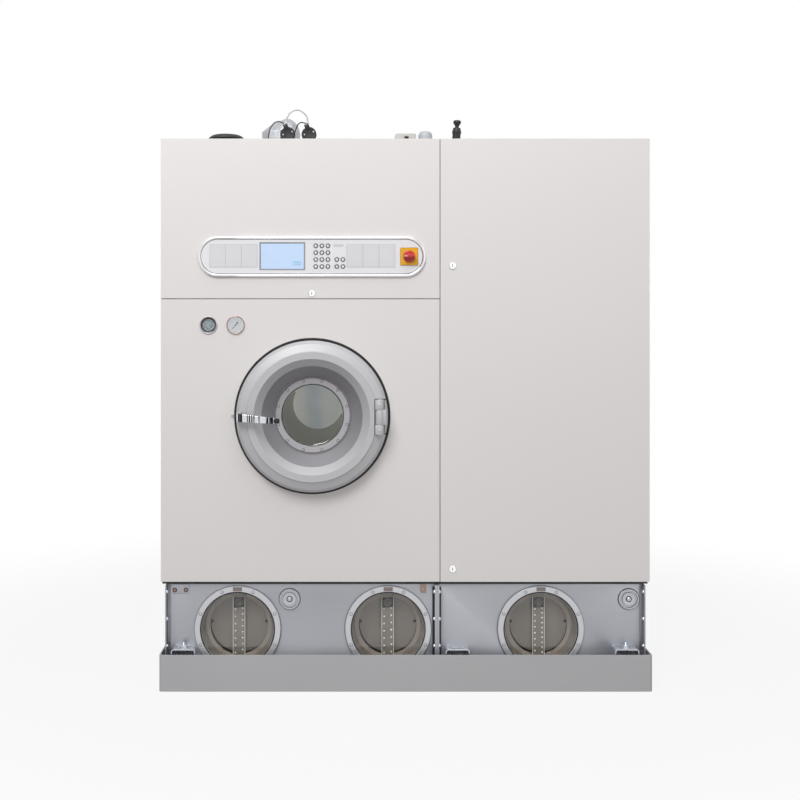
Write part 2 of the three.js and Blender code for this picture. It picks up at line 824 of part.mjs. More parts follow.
// A window: a bolted ring with its pane
function tankWindow(x) {
  const face = tankFront - restGap;
  const inFront = face - windowThickness;
  const pane = [face - windowPane - 1, face - 1];
  const ring = turnedY(x, windowZ, [
    [0, pane[1]], [windowInner, pane[1]], [windowInner, face], [windowOuter, face],
    [windowOuter - 2, inFront], [windowInner, inFront], [windowInner, pane[0]], [0, pane[0]],
  ]);
  const bolts = onCircle(windowBolts, windowBoltCircle, 0.5).map(([dx, dz]) => (
    rodY(x + dx, windowZ + dz, [inFront - 3, inFront + 1], windowBoltRadius, 6)
  ));
  return join([ring, ...bolts]);
}

// Drum housing with its mouth ring, bearing and saddles
const saddleY = [crossRailY[0], crossRailY[1]];
const airPortX = [drumX - 130, drumX + 130];

function drumHousing() {
  const bore = boreRadius(shaftRadius, turnGap, roundSegments);
  const inner = housingRadius - housingWall;
  const collar = mouthRadius + housingWall;
  const shell = ringY(drumX, drumZ, [
    [mouthRadius, mouthY], [mouthRingRadius, mouthY], [mouthRingRadius, mouthY + mouthRingThickness],
    [collar, mouthY + mouthRingThickness], [collar, housingFrontY], [housingRadius, housingFrontY],
    [housingRadius, housingBackY], [bearingRadius, housingBackY], [bearingRadius, bearingEndY],
    [bore, bearingEndY], [bore, housingBackY - housingWall], [inner, housingBackY - housingWall],
    [inner, housingFrontY + housingWall], [mouthRadius, housingFrontY + housingWall],
  ]);
  const saddleTop = drumZ - Math.sqrt(housingRadius ** 2 - (saddleWidth / 2) ** 2);
  const saddleHollow = rodY(
    drumX, drumZ, [housingFrontY, housingBackY], housingRadius - housingWall / 2, roundSegments,
  );
  const saddles = saddleY.map((y) => block(
    [drumX - saddleWidth / 2, drumX + saddleWidth / 2], [y - saddleThickness / 2, y + saddleThickness / 2],
    [railTop + restGap, saddleTop],
  ).subtract(saddleHollow));
  const ports = airPortX.map((x) => (
    rodZ(x, airInletY, [drumZ, drumZ + housingRadius + 1], airInletRadius - airUnitWall - 6, mediumSegments)
  ));
  return cut(join([shell, ...saddles]), ports);
}

function drumCage() {
  const inner = cageRadius - cageWall;
  const backY0 = cageBackY - cageWall;
  const shell = turnedY(drumX, drumZ, [
    [0, cageBackY], [cageRadius, cageBackY], [cageRadius, cageFrontY], [cageMouth, cageFrontY],
    [cageMouth, cageFrontY + cageWall], [inner, cageFrontY + cageWall], [inner, backY0], [hubRadius, backY0],
    [hubRadius, backY0 - hubThickness], [0, backY0 - hubThickness],
  ]);
  const foot = inner * Math.cos(Math.PI / roundSegments) - cageWall;
  const ribs = onCircle(lifters, 1, 0.25).map(([c, s]) => {
    const at = (radius, across) => [drumX + radius * c - across * s, drumZ + radius * s + across * c];
    const shape = outline([
      at(foot, -lifterWidth / 2), at(inner + 1, 0), at(foot, lifterWidth / 2),
      at(foot - lifterHeight, lifterWidth / 8), at(foot - lifterHeight, -lifterWidth / 8),
    ]);
    return plateY(shape, [cageFrontY + cageWall - 1, backY0 + 1]);
  });
  const trimmed = join(ribs).intersect(
    rodY(drumX, drumZ, [cageFrontY, cageBackY], cageRadius - cageWall / 2, roundSegments),
  );
  return shell.add(trimmed);
}

function drumPulley() {
  const start = cageBackY + restGap;
  const end = pulleyY + pulleyWidth;
  const web = 10;
  const rim = 20;
  const hub = 45;
  return turnedY(drumX, drumZ, [
    [0, start], [shaftFlangeRadius, start], [shaftFlangeRadius, start + shaftFlangeThickness],
    [shaftRadius, start + shaftFlangeThickness], [shaftRadius, pulleyY], [hub, pulleyY],
    [hub, pulleyY + (pulleyWidth - web) / 2], [drumPulleyRadius - rim, pulleyY + (pulleyWidth - web) / 2],
    [drumPulleyRadius - rim, pulleyY], [drumPulleyRadius, pulleyY], [drumPulleyRadius, end],
    [drumPulleyRadius - rim, end], [drumPulleyRadius - rim, end - (pulleyWidth - web) / 2],
    [hub, end - (pulleyWidth - web) / 2], [hub, end], [0, end],
  ]);
}

const motorEndY = pulleyY - pulleyRun;
const motorStartY = motorEndY - motorLength;
const motorBoreDepth = 60;

function driveMotor() {
  const { endBell, fin, foot: footHeight, leg } = motorShape;
  const core = turnedY(motorX, motorZ, [
    [0, motorStartY], [motorRadius * 0.75, motorStartY], [motorRadius * 0.86, motorStartY + endBell],
    [motorRadius * 0.86, motorEndY - endBell], [motorRadius * 0.6, motorEndY], [0, motorEndY],
  ], mediumSegments);
  const fins = onCircle(motorFins, 1, 0.5).map(([c, s]) => {
    const at = (radius, across) => [motorX + radius * c - across * s, motorZ + radius * s + across * c];
    const low = motorRadius * 0.8;
    return plateY(
      outline([at(low, -fin / 2), at(motorRadius, -fin / 2), at(motorRadius, fin / 2), at(low, fin / 2)]),
      [motorStartY + endBell, motorEndY - endBell],
    );
  });
  const footZ = railTop + restGap;
  const foot = block(
    [motorX - motorRadius * 0.8, motorX + motorRadius * 0.8],
    [crossRailY[1] - post / 2, motorEndY - endBell], [footZ, footZ + footHeight],
  );
  const legs = [-1, 1].map((side) => block(
    [motorX + side * motorRadius * 0.5 - leg, motorX + side * motorRadius * 0.5 + leg],
    [crossRailY[1] - post / 2, motorEndY - endBell - 10], [footZ + 10, motorZ - motorRadius * 0.5],
  ));
  const box = block(
    [motorX - motorBox.half, motorX + motorBox.half], motorBox.y.map((run) => motorStartY + run),
    [motorZ + motorRadius * 0.8, motorZ + motorRadius + motorBox.proud],
  );
  const bore = rodY(
    motorX, motorZ, [motorEndY - motorBoreDepth, motorEndY + 1], boreRadius(motorShaftRadius, turnGap),
  );
  return cut(join([core, ...fins, foot, ...legs, box]), [bore]);
}

function motorPulley() {
  return turnedY(motorX, motorZ, [
    [0, motorEndY - motorBoreDepth + 5], [motorShaftRadius, motorEndY - motorBoreDepth + 5],
    [motorShaftRadius, pulleyY], [motorPulleyRadius, pulleyY], [motorPulleyRadius, pulleyY + pulleyWidth],
    [motorShaftRadius, pulleyY + pulleyWidth], [motorShaftRadius, pulleyY + pulleyWidth + 4],
    [0, pulleyY + pulleyWidth + 4],
  ], mediumSegments);
}

// The belt's loop, wrapped round both pulleys with the given space to them
function beltLoop(space, segments) {
  const big = boreRadius(drumPulleyRadius, space, segments);
  const small = boreRadius(motorPulleyRadius, space, segments);
  const dx = motorX - drumX;
  const dz = motorZ - drumZ;
  const direction = Math.atan2(dz, dx);
  const lean = Math.acos((big - small) / Math.hypot(dx, dz));
  const points = [];
  const steps = Math.ceil(segments * 0.6);
  const sweep = (x, z, radius, from, to) => {
    for (let i = 0; i <= steps; i += 1) {
      const angle = from + ((to - from) * i) / steps;
      points.push([x + radius * Math.cos(angle), z + radius * Math.sin(angle)]);
    }
  };
  sweep(drumX, drumZ, big, direction + lean, direction - lean + Math.PI * 2);
  sweep(motorX, motorZ, small, direction - lean, direction + lean);
  return outline(points);
}

function driveBelt() {
  const middle = pulleyY + pulleyWidth / 2;
  const y = [middle - beltWidth / 2, middle + beltWidth / 2];
  const inner = plateY(beltLoop(restGap, roundSegments), [y[0] - 1, y[1] + 1]);
  return plateY(beltLoop(restGap + beltThickness, roundSegments), y).subtract(inner);
}

// Loading door. Heights are measured from the drum's axis, depths from the cabinet's face.
const hingeX = drumX + doorHingeX;
const doorHingeY = front - doorHingeProud;
const handleX = drumX + handlePivotX;
const handleY = front - handlePivotProud;
const aroundDrumZ = (half) => [drumZ - half, drumZ + half];
const glassY = front + coneDepth + clampThickness + restGap;
const seatY = glassY + glassThickness + restGap;

function atFace(profile) {
  return profile.map(([radius, y]) => [radius, front + y]);
}

function doorShell() {
  const seat = seatY - front;
  const shell = ringY(drumX, drumZ, atFace([
    [doorRadius, -rimBack], [doorRadius, -rimDepth], [doorRadius - 12, -rimDepth - 22],
    [ringOuter, -rimDepth - 34], [ringOuter - 2, -ringProud],
    [ringInner, -ringProud], [coneTop, -coneTopProud], [coneFoot, coneDepth], [coneFoot, seat],
    [glassView - 6, seat], [glassView - 6, seat + doorWall], [coneFoot + doorWall, seat + doorWall],
    [coneFoot + doorWall, coneDepth], [coneTop + doorWall, -coneTopProud + 2],
    [ringInner + 5, -ringProud + doorWall], [ringOuter - 4, -ringProud + doorWall],
    [doorRadius - 17, -rimDepth - 17], [doorRadius - 6, -rimDepth], [doorRadius - 6, -rimBack],
  ]));
  const lip = ringY(drumX, drumZ, atFace([
    [sealLipRadius - sealLipWidth / 2, -ringProud + 3], [sealLipRadius + sealLipWidth / 2, -ringProud + 3],
    [sealLipRadius + sealLipWidth / 2, mouthSetback - restGap],
    [sealLipRadius - sealLipWidth / 2, mouthSetback - restGap],
  ]));
  const notchX = hingeX - barrelRadius - notchMargin;
  const notch = block(
    [notchX, drumX + doorRadius + 1], [front - ringProud - 20, front + 1],
    aroundDrumZ(doorHingeHalf + notchMargin),
  );
  const slot = block(
    [handleX - tongueWidth / 2 - 2, handleX + tongueWidth / 2 + 14],
    [handleY, front - rimDepth + 4], aroundDrumZ(tongueHalf + 2),
  );
  const knuckles = [1, -1].map((side) => {
    const z = [drumZ + side * (barrelHalf + 1), drumZ + side * doorHingeHalf].sort((a, b) => a - b);
    const web = block(
      [notchX - 8, hingeX], [doorHingeY - barrelRadius / 2, front - ringProud + doorWall], z,
    );
    const bore = rodZ(
      hingeX, doorHingeY, [z[0] - 1, z[1] + 1], boreRadius(doorPinRadius, turnGap, mediumSegments),
      mediumSegments,
    );
    return rodZ(hingeX, doorHingeY, z, barrelRadius, mediumSegments).add(web).subtract(bore);
  });
  const ears = [1, -1].map((side) => {
    const low = drumZ + side * (handleBarrelHalf + restGap);
    const z = [low, low + side * handleEar].sort((a, b) => a - b);
    const foot = block(
      [handleX - handleEyeRadius, handleX + handleEyeRadius], [handleY, front - rimDepth - 20], z,
    );
    const bore = rodZ(handleX, handleY, [z[0] - 1, z[1] + 1], boreRadius(handlePin, turnGap));
    return rodZ(handleX, handleY, z, handleEyeRadius, mediumSegments).add(foot).subtract(bore);
  });
  return join([cut(shell, [notch, slot]), lip, ...knuckles, ...ears]);
}

function windowClampRing() {
  const y0 = front + coneDepth;
  const outer = coneFoot - restGap * 2;
  const step = glassRadius + 1;
  const ring = ringY(drumX, drumZ, [
    [glassView, y0], [outer, y0], [outer, seatY - restGap], [step, seatY - restGap],
    [step, y0 + clampThickness], [glassView, y0 + clampThickness],
  ]);
  const screws = onCircle(clampScrews, clampScrewCircle, 0.5).map(([dx, dz]) => (
    rodY(drumX + dx, drumZ + dz, [y0 - 2, y0 + 1], clampScrewRadius, 6)
  ));
  return join([ring, ...screws]);
}

function doorGlass() {
  const flat = glassView - 10;
  const crown = (share) => glassCrown * share;
  return turnedY(drumX, drumZ, [
    [0, glassY + crown(1)], [flat * 0.35, glassY + crown(0.88)], [flat * 0.7, glassY + crown(0.5)],
    [flat, glassY], [glassRadius, glassY], [glassRadius, glassY + glassThickness],
    [flat, glassY + glassThickness], [flat * 0.7, glassY + glassThickness + crown(0.5)],
    [flat * 0.35, glassY + glassThickness + crown(0.88)], [0, glassY + glassThickness + crown(1)],
  ]);
}

// Lever with a curved strip, a tip and a tongue that reaches back through the door
function doorHandle() {
  const barrel = rodZ(handleX, handleY, aroundDrumZ(handleBarrelHalf), handleBarrel);
  const pin = rodZ(handleX, handleY, aroundDrumZ(handleBarrelHalf + handleEar), handlePin);
  const tongue = block(
    [handleX - tongueWidth / 2, handleX + tongueWidth / 2], [handleY, mouthY - tongueRun],
    aroundDrumZ(tongueHalf),
  );
  const end = handleX + handleReach;
  const bow = new THREE.QuadraticBezierCurve(
    new THREE.Vector2(handleX - handleBarrel, handleY - handleBarrel),
    new THREE.Vector2(handleX + handleReach * 0.45, handleY - handleBarrel - 24),
    new THREE.Vector2(end, handleY - handleBarrel - 6),
  );
  const outer = bow.getPoints(8).map(({ x, y }) => [x, y - handleThickness]);
  const inner = bow.getPoints(8).map(({ x, y }) => [x, y]).reverse();
  const strip = plateZ(outline([...outer, ...inner]), aroundDrumZ(handleHeight));
  const start = handleX - handleBarrel - 1;
  const side = plateY(outline([
    [start, drumZ - handleHeight / 2], [end + 1, drumZ - handleDrop - handleTipHeight / 2],
    [end + 1, drumZ - handleDrop + handleTipHeight / 2], [start, drumZ + handleHeight / 2],
  ]), [handleY - 80, handleY + 20]);
  const link = block(
    [handleX - handleBarrel, handleX + handleBarrel],
    [handleY - handleBarrel - handleThickness, handleY], aroundDrumZ(handleBarrelHalf),
  );
  const tip = block(
    [end - 4, end + 18], [handleY - handleBarrel - 15, handleY - handleBarrel - 1],
    [drumZ - handleDrop - 9, drumZ - handleDrop + 9],
  );
  return join([barrel, pin, tongue, strip.intersect(side), link, tip]);
}

// The fixed half of the door's hinge: barrel and pin on an arm that reaches back to the mouth ring
function hingeBracket() {
  const armStart = barrelRadius + 2.5;
  const armOuter = doorRadius - 0.5;
  const barrel = rodZ(hingeX, doorHingeY, aroundDrumZ(barrelHalf), barrelRadius, mediumSegments);
  const pin = rodZ(hingeX, doorHingeY, aroundDrumZ(doorHingeHalf + 2), doorPinRadius);
  const rimPiece = ringY(drumX, drumZ, atFace([
    [doorRadius - 19, -rimDepth - 24], [doorRadius - 7, -rimDepth - 14], [armOuter, -rimDepth],
    [armOuter, mouthSetback - restGap], [doorRadius - 19, mouthSetback - restGap],
  ]));
  const arm = rimPiece.intersect(block(
    [hingeX + armStart, drumX + doorRadius], [front - ringProud, mouthY],
    aroundDrumZ(doorHingeHalf - notchMargin),
  ));
  const web = block(
    [hingeX + barrelRadius / 2, hingeX + armStart + 6],
    [doorHingeY - barrelRadius / 2, doorHingeY + barrelRadius * 1.5], aroundDrumZ(barrelHalf),
  );
  return join([barrel, pin, arm, web]);
}

function portholeTrim() {
  const gap = restGap;
  return ringY(drumX, drumZ, atFace([
    [trimInner, -trimProud], [trimOuter, -trimProud], [trimOuter, -gap], [trimInner + 4, -gap],
    [trimInner + 4, sheet + gap], [trimInner + 4 + trimGrip, sheet + gap],
    [trimInner + 4 + trimGrip, sheet + gap + 3], [trimInner, sheet + gap + 3],
  ]));
}

// Cabinet panels
function leftSidePanel() {
  const relief = block(
    [left - 1, left + sheet + 1], [front, hingeClear], [hingeAxisZ - 2 * hingeInset, top + 1],
  );
  return block([left, left + sheet], [sheetBack + restGap, back], [base, top]).subtract(relief);
}

function rightSidePanel() {
  return block([right - sheet, right], [hingeClear, back], [base, top]).add(serviceHingeFixed());
}

const ventSlots = { insets: [310, 1160], rows: 6, pitch: 30, width: 260, height: 8, rise: 164 };

function rearPanel() {
  const panel = block(
    [left + sheet + restGap, right - sheet - restGap], [back - sheet, back], [base, top - sheet - restGap],
  );
  const slots = ventSlots.insets.flatMap((inset) => Array.from({ length: ventSlots.rows }, (_, row) => {
    const x = left + inset;
    const z = base + ventSlots.rise + row * ventSlots.pitch;
    return block([x, x + ventSlots.width], [back - sheet - 1, back + 1], [z, z + ventSlots.height]);
  }));
  return cut(panel, slots);
}

function topPanel() {
  const panel = block(
    [left + sheet + restGap, right - sheet - restGap], [hingeClear, back], [top - sheet, top],
  ).add(flapHingeFixed());
  return panel.subtract(rodZ(ductX, ductY, [top - sheet - 1, top + 1], ductRadius + seam, roundSegments));
}

function lowerFrontPanel() {
  const panel = frontSheet([left, splitLeft], [base, lowerPanelTop], ['left', 'right', 'bottom', 'top']);
  const through = [front - 1, sheetBack + 1];
  const gauge = boreRadius(gaugeBodyRadius, turnGap, mediumSegments);
  const plunger = rodY(drumX + plungerX, drumZ, [front - rimBack, sheetBack + plungerTail], plungerRadius);
  return cut(panel, [
    rodY(drumX, drumZ, through, trimInner + 4 + restGap, roundSegments),
    rodY(sightGlassX, gaugeZ, through, gauge, mediumSegments),
    rodY(pressureGaugeX, gaugeZ, through, gauge, mediumSegments),
  ]).add(plunger);
}

function serviceDoor() {
  const panel = frontSheet([splitRight, right], [base, top], ['left', 'bottom', 'top']);
  const hole = boreRadius(lockBarrel, turnGap, mediumSegments);
  const holes = doorLockZ.map((z) => rodY(doorLockX, z, [front - 1, sheetBack + 1], hole, mediumSegments));
  return cut(join([panel, ...serviceHingeMoving()]), holes);
}

function controlFlap() {
  const panel = frontSheet([left, splitLeft], [flapBottom, top], ['left', 'right', 'bottom']);
  const through = [front - 1, sheetBack + 1];
  return cut(join([panel, ...flapHingeMoving()]), [
    rodY(flapLockX, flapLockZ, through, boreRadius(lockBarrel, turnGap, mediumSegments), mediumSegments),
    rodY(switchX, switchZ, through, boreRadius(switchShaftRadius, turnGap)),
    block(
      [flapLockX - lockCamReach, flapLockX + lockCamReach], [sheetBack, front + panelReturn + 1],
      [flapBottom + returnInset - 1, flapBottom + returnInset + sheet + 1],
    ),
  ]);
}

// A turn lock: head, barrel and a short cam that points along +X or +Z when unlocked
function turnLock(x, z, upright) {
  const seat = front - restGap;
  const head = turnedY(x, z, [
    [0, seat], [lockHead, seat], [lockHead, seat - lockProud + 1], [lockHead - 1, seat - lockProud],
    [0, seat - lockProud],
  ], mediumSegments);
  const barrel = rodY(x, z, [seat - 1, front + lockDepth], lockBarrel, mediumSegments);
  const camY = [front + lockDepth - lockCamThickness, front + lockDepth];
  const reach = [0, lockCamReach];
  const width = [-lockCamWidth / 2, lockCamWidth / 2];
  const at = (centre, [low, high]) => [centre + low, centre + high];
  const cam = upright ? block(at(x, width), camY, at(z, reach)) : block(at(x, reach), camY, at(z, width));
  const slot = block(
    [x - lockKeySlot / 2, x + lockKeySlot / 2], [seat - lockProud - 1, seat - 1], [z - 6, z + 6],
  );
  return cut(join([head, barrel, cam]), [slot]);
}

// Console on the flap: a rim round a fascia, with places for the keys, the screen and the main switch
function pill(inset) {
  const halfLength = consoleLength / 2 - inset;
  const halfHeight = consoleHeight / 2 - inset;
  return roundedRectangle(
    [consoleX - halfLength, consoleX + halfLength], [consoleZ - halfHeight, consoleZ + halfHeight],
    halfHeight - restGap,
  );
}

const keyBlocks = [keyBlock, sideKeyBlock].map(({ columns, rows }) => ({
  columns: columns.map((x) => consoleX + x), rows: rows.map((z) => consoleZ + z),
}));
const keyPlaces = keyBlocks.flatMap(({ columns, rows }) => (
  rows.flatMap((z) => columns.map((x) => [x, z]))
));

function consolePanel() {
  const seat = front - restGap;
  const rim = plateY(pill(0), [front - rimProud, seat]).subtract(
    plateY(pill(rimWidth), [front - rimProud - 1, front + 1]),
  );
  const fascia = plateY(pill(rimWidth - 1), [fasciaY, seat]);
  const screen = block(
    [screenX - screenWidth / 2 - restGap, screenX + screenWidth / 2 + restGap], [fasciaY - 1, front + 1],
    [screenZ - screenHeight / 2 - restGap, screenZ + screenHeight / 2 + restGap],
  );
  const keyHoles = keyPlaces.map(([x, z]) => (
    rodY(x, z, [fasciaY - 1, front + 1], boreRadius(keyRadius, restGap))
  ));
  const around = (values) => [Math.min(...values) - keyFlange - 1, Math.max(...values) + keyFlange + 1];
  const keyPockets = keyBlocks.map(({ columns, rows }) => (
    block(around(columns), [seat - keyPocket, front + 1], around(rows))
  ));
  const shaft = rodY(switchX, switchZ, [fasciaY - 1, front + 1], boreRadius(switchShaftRadius, turnGap));
  return cut(rim.add(fascia), [screen, shaft, ...keyHoles, ...keyPockets]);
}

function key([x, z]) {
  const shoulder = front - keyPocket;
  const cap = turnedY(x, z, [
    [0, shoulder], [keyFlange, shoulder], [keyFlange, shoulder + keyFlangeThickness],
    [0, shoulder + keyFlangeThickness],
  ], smallSegments);
  const button = rodY(x, z, [fasciaY - keyProud, shoulder + restGap], keyRadius);
  return cap.add(button);
}

function displayScreen() {
  const half = [screenWidth / 2, screenHeight / 2];
  const body = block(
    [screenX - half[0], screenX + half[0]], [fasciaY, front - 2 * restGap],
    [screenZ - half[1], screenZ + half[1]],
  );
  const sunk = block(
    [screenX - half[0] + screenBezel, screenX + half[0] - screenBezel], [fasciaY - 1, fasciaY + screenSunk],
    [screenZ - half[1] + screenBezel, screenZ + half[1] - screenBezel],
  );
  return body.subtract(sunk);
}

const switchPlateY = fasciaY - restGap - switchPlateThickness;

function mainSwitchPlate() {
  const half = switchPlate / 2;
  const plate = roundedRectangle([switchX - half, switchX + half], [switchZ - half, switchZ + half], 3);
  return plateY(plate, [switchPlateY, fasciaY - restGap], 2).subtract(
    rodY(switchX, switchZ, [switchPlateY - 1, fasciaY + 1], boreRadius(switchShaftRadius, turnGap)),
  );
}

function mainSwitchKnob() {
  const seat = switchPlateY - restGap;
  const disc = turnedY(switchX, switchZ, [
    [0, seat], [switchKnobRadius, seat], [switchKnobRadius, seat - switchKnobBase + 2],
    [switchKnobRadius - 2, seat - switchKnobBase], [0, seat - switchKnobBase],
  ], mediumSegments);
  const gripZ = [switchZ - switchGripWidth / 2, switchZ + switchGripWidth / 2];
  const grip = block(
    [switchX - switchKnobRadius + 1, switchX + switchKnobRadius - 1],
    [seat - switchKnobBase - switchGripDepth, seat - 1], gripZ,
  );
  const shaft = rodY(switchX, switchZ, [seat - 1, front + lockDepth], switchShaftRadius);
  return join([disc, grip, shaft]);
}

// Gauges in the lower front panel
function sightGlass() {
  const seat = front - restGap;
  const rim = sightGlassRadius;
  const bowl = gaugeBodyRadius - 5;
  const body = turnedY(sightGlassX, gaugeZ, [
    [0, front + gaugeBodyDepth], [gaugeBodyRadius, front + gaugeBodyDepth], [gaugeBodyRadius, seat],
    [rim, seat], [rim, seat - gaugeBezel + 2], [rim - 3, seat - gaugeBezel], [bowl + 2, seat - gaugeBezel],
    [bowl, seat - gaugeBezel + 2], [bowl, front + gaugeBodyDepth / 2], [0, front + gaugeBodyDepth / 2],
  ], mediumSegments);
  const tube = rodY(
    sightGlassX, gaugeZ, [front + gaugeBodyDepth - 1, front + gaugeBodyDepth + sightTubeReach], 12,
  );
  return body.add(tube);
}

function pressureGauge() {
  const seat = front - restGap;
  const rim = pressureGaugeRadius;
  const dial = seat - 1.5;
  const body = turnedY(pressureGaugeX, gaugeZ, [
    [0, front + gaugeBodyDepth], [gaugeBodyRadius, front + gaugeBodyDepth], [gaugeBodyRadius, seat],
    [rim, seat], [rim, seat - gaugeBezel + 1], [rim - 2, seat - gaugeBezel], [rim - 5, seat - gaugeBezel],
    [rim - 6, dial], [0, dial],
  ], mediumSegments);
  const hub = rodY(pressureGaugeX, gaugeZ, [dial - 2, dial + 1], 3, 8);
  const stem = rodY(pressureGaugeX, gaugeZ, [front + gaugeBodyDepth - 1, front + gaugeBodyDepth + 20], 7, 8);
  return join([body, hub, stem]);
}

// The duct's faceted hood leans over to one side above its shoulder
function ductHood(inset, foot) {
  const crown = hoodProfile.map(([radius, height]) => [radius - inset, ductShoulder + height - inset]);
  const profile = [
    [0, foot], [ductRadius - inset, foot], [ductRadius - inset, ductShoulder], ...crown,
    [0, ductShoulder + hoodProfile.at(-1)[1] - inset],
  ];
  const points = profile.map(([radius, z]) => new THREE.Vector2(radius, z));
  const geometry = new THREE.LatheGeometry(points, ductSides);
  const position = geometry.attributes.position;
  for (let i = 0; i < position.count; i += 1) {
    const rise = Math.max(0, position.getY(i) - ductShoulder);
    position.setX(i, position.getX(i) + rise * hoodLean);
  }
  geometry.rotateX(Math.PI / 2);
  geometry.translate(ductX, ductY, 0);
  return solid(geometry);
}

// Air unit over the drum: a casing with two ports to the housing and a duct out through the top
function airUnitBody() {
  const { x, y, z } = airUnit;
  const wall = airUnitWall;
  const shrink = ([low, high]) => [low + wall, high - wall];
  const casing = block(x, y, z);
  const cavity = block(shrink(x), shrink(y), shrink(z));
  const housing = rodY(
    drumX, drumZ, [housingFrontY - 1, housingBackY + 1], boreRadius(housingRadius, restGap, roundSegments),
    roundSegments,
  );
  const ports = airPortX.map((px) => rodZ(px, airInletY, [drumZ, z[0] + 1], airInletRadius, mediumSegments));
  const portHollows = airPortX.map((px) => (
    rodZ(px, airInletY, [drumZ - 1, z[0] + wall + 1], airInletRadius - wall, mediumSegments)
  ));
  const outlet = block(
    [ductX - ductOutlet.width / 2, ductX + ductOutlet.width / 2],
    [ductY + ductRadius / 2, ductY + ductRadius + 1],
    [top + ductOutlet.sill, top + ductOutlet.sill + ductOutlet.height],
  );
  const collar = rodZ(
    ductX, ductY, [top + restGap, top + restGap + 2], ductRadius + ductCollar, roundSegments,
  );
  return cut(join([casing, ductHood(0, z[1] - wall), collar, ...ports]), [
    cavity, ductHood(wall, z[1] - 2 * wall), ...portHollows, housing, outlet,
  ]);
}

// Pressure switches standing on the top panel
const topSeat = top + restGap;

const socketTop = switchDiscZ + switchDiscRadius + switchSocket.z[1];
const spigotTop = socketTop + spigot.rise;

function pressureSwitch(x, lead) {
  const y = [switchDiscY - switchDiscThickness / 2, switchDiscY + switchDiscThickness / 2];
  const disc = rodY(x, switchDiscZ, y, switchDiscRadius, roundSegments);
  const foot = block([x - switchFoot.half, x + switchFoot.half], y, [topSeat, switchDiscZ - switchFoot.sunk]);
  const socket = block(
    switchSocket.x.map((along) => x + along), switchSocket.y.map((deep) => y[0] + deep),
    [switchDiscZ + switchSocket.z[0], socketTop],
  );
  const nozzle = rodZ(x + spigot.x, switchDiscY, [socketTop - spigot.root, spigotTop], spigot.radius, 8);
  const screws = switchScrews.at.map(([dx, dz]) => (
    rodY(x + dx, switchDiscZ + dz, [y[0] - switchScrews.proud, y[0] + 1], switchScrews.radius, 6)
  ));
  return join([disc, foot, socket, nozzle, ...screws, hose(lead, leadRadius, 12)]);
}

function linkTo(x, reach) {
  return rodX(switchDiscY, spigotTop - leadLink.drop, [x + reach, x + leadLink.end], leadLink.radius, 8);
}

function pressureSwitchLeft() {
  const x = switchDiscX[0];
  const lead = [
    [x - 16, switchDiscY, spigotTop - 8], [x - 38, switchDiscY - 2, spigotTop - 1],
    [x - 62, switchDiscY - 4, spigotTop - 20], [x - 73, switchDiscY - 5, spigotTop - 55],
    [x - 75, switchDiscY - 5, topSeat],
  ];
  const arch = [
    [x + spigot.x, switchDiscY, spigotTop - 2], [x - 1, switchDiscY, spigotTop + 16],
    [x + 15, switchDiscY, spigotTop + 36], [x + 38, switchDiscY, spigotTop + 43],
    [x + 60, switchDiscY, spigotTop + 32], [switchDiscX[1] + spigot.x, switchDiscY, spigotTop + 12],
    [switchDiscX[1] + spigot.x, switchDiscY, spigotTop + restGap],
  ];
  return join([pressureSwitch(x, lead), linkTo(x, -18), hose(arch, hoseRadius, 16)]);
}

function pressureSwitchRight() {
  const x = switchDiscX[1];
  const lead = [
    [x - 14, switchDiscY, spigotTop - 8], [x - 34, switchDiscY + 6, spigotTop - 4],
    [x - 50, switchDiscY + 18, spigotTop - 26], [x - 60, switchDiscY + 24, spigotTop - 56],
    [x - 62, switchDiscY + 24, topSeat],
  ];
  return join([pressureSwitch(x, lead), linkTo(x, -16)]);
}

function ventCap() {
  const shape = outline(onCircle(ventRibs * 2, 1).map(([c, s], i) => {
    const radius = i % 2 === 0 ? ventRadius : ventRadius - ventRibDepth;
    return [ventX + radius * c, ventY + radius * s];
  }));
  const cap = turnedZ(ventX, ventY, [
    [0, topSeat], [ventRadius - ventShoulder.inset, topSeat],
    [ventRadius - ventShoulder.inset, ventTop - ventShoulder.drop],
    [ventRadius - ventShoulder.crownInset, ventTop], [0, ventTop],
  ], ventRibs);
  return plateZ(shape, [topSeat, ventTop - ventShoulder.ribDrop]).add(cap);
}

function terminalBox() {
  const z0 = topSeat + terminalPlate.thickness;
  const { edge } = terminalPlate;
  const x = [left + terminal.inset, left + terminal.inset + terminal.width];
  const y = [front + terminal.setback, front + terminal.setback + terminal.depth];
  const domeX = left + terminalDome.inset;
  const domeTop = top + terminalDome.rise;
  const r = terminalDome.radius;
  const plate = block([x[0] - edge, domeX + r + edge], [y[0] - edge, y[1] + edge], [topSeat, z0]);
  const box = block(x, y, [z0 - 1, top + terminal.rise]);
  const middle = (x[0] + x[1]) / 2;
  const slot = block(
    terminalSlot.x.map((along) => middle + along), [y[0] - 1, y[0] + terminalSlot.depth],
    terminalSlot.z.map((rise) => z0 + rise),
  );
  const dome = turnedZ(domeX, (y[0] + y[1]) / 2, [
    [0, z0 - 1], [r, z0 - 1], [r, domeTop - r * 0.6], [r * 0.92, domeTop - r * 0.25], [r * 0.6, domeTop],
    [0, domeTop],
  ], mediumSegments);
  return cut(join([plate, box, dome]), [slot]);
}

// Valve on the right, leaning a little, with a turning knob
const valveAxis = new THREE.Vector3(0, 0, 1).applyAxisAngle(
  new THREE.Vector3(0, 1, 0), THREE.MathUtils.degToRad(valveLean),
);

function leaning(profile, segments) {
  const points = profile.map(([radius, height]) => new THREE.Vector2(radius, height));
  const geometry = new THREE.LatheGeometry(points, segments);
  geometry.rotateX(Math.PI / 2);
  geometry.rotateY(THREE.MathUtils.degToRad(valveLean));
  geometry.translate(valveX, valveY, topSeat);
  return solid(geometry);
}

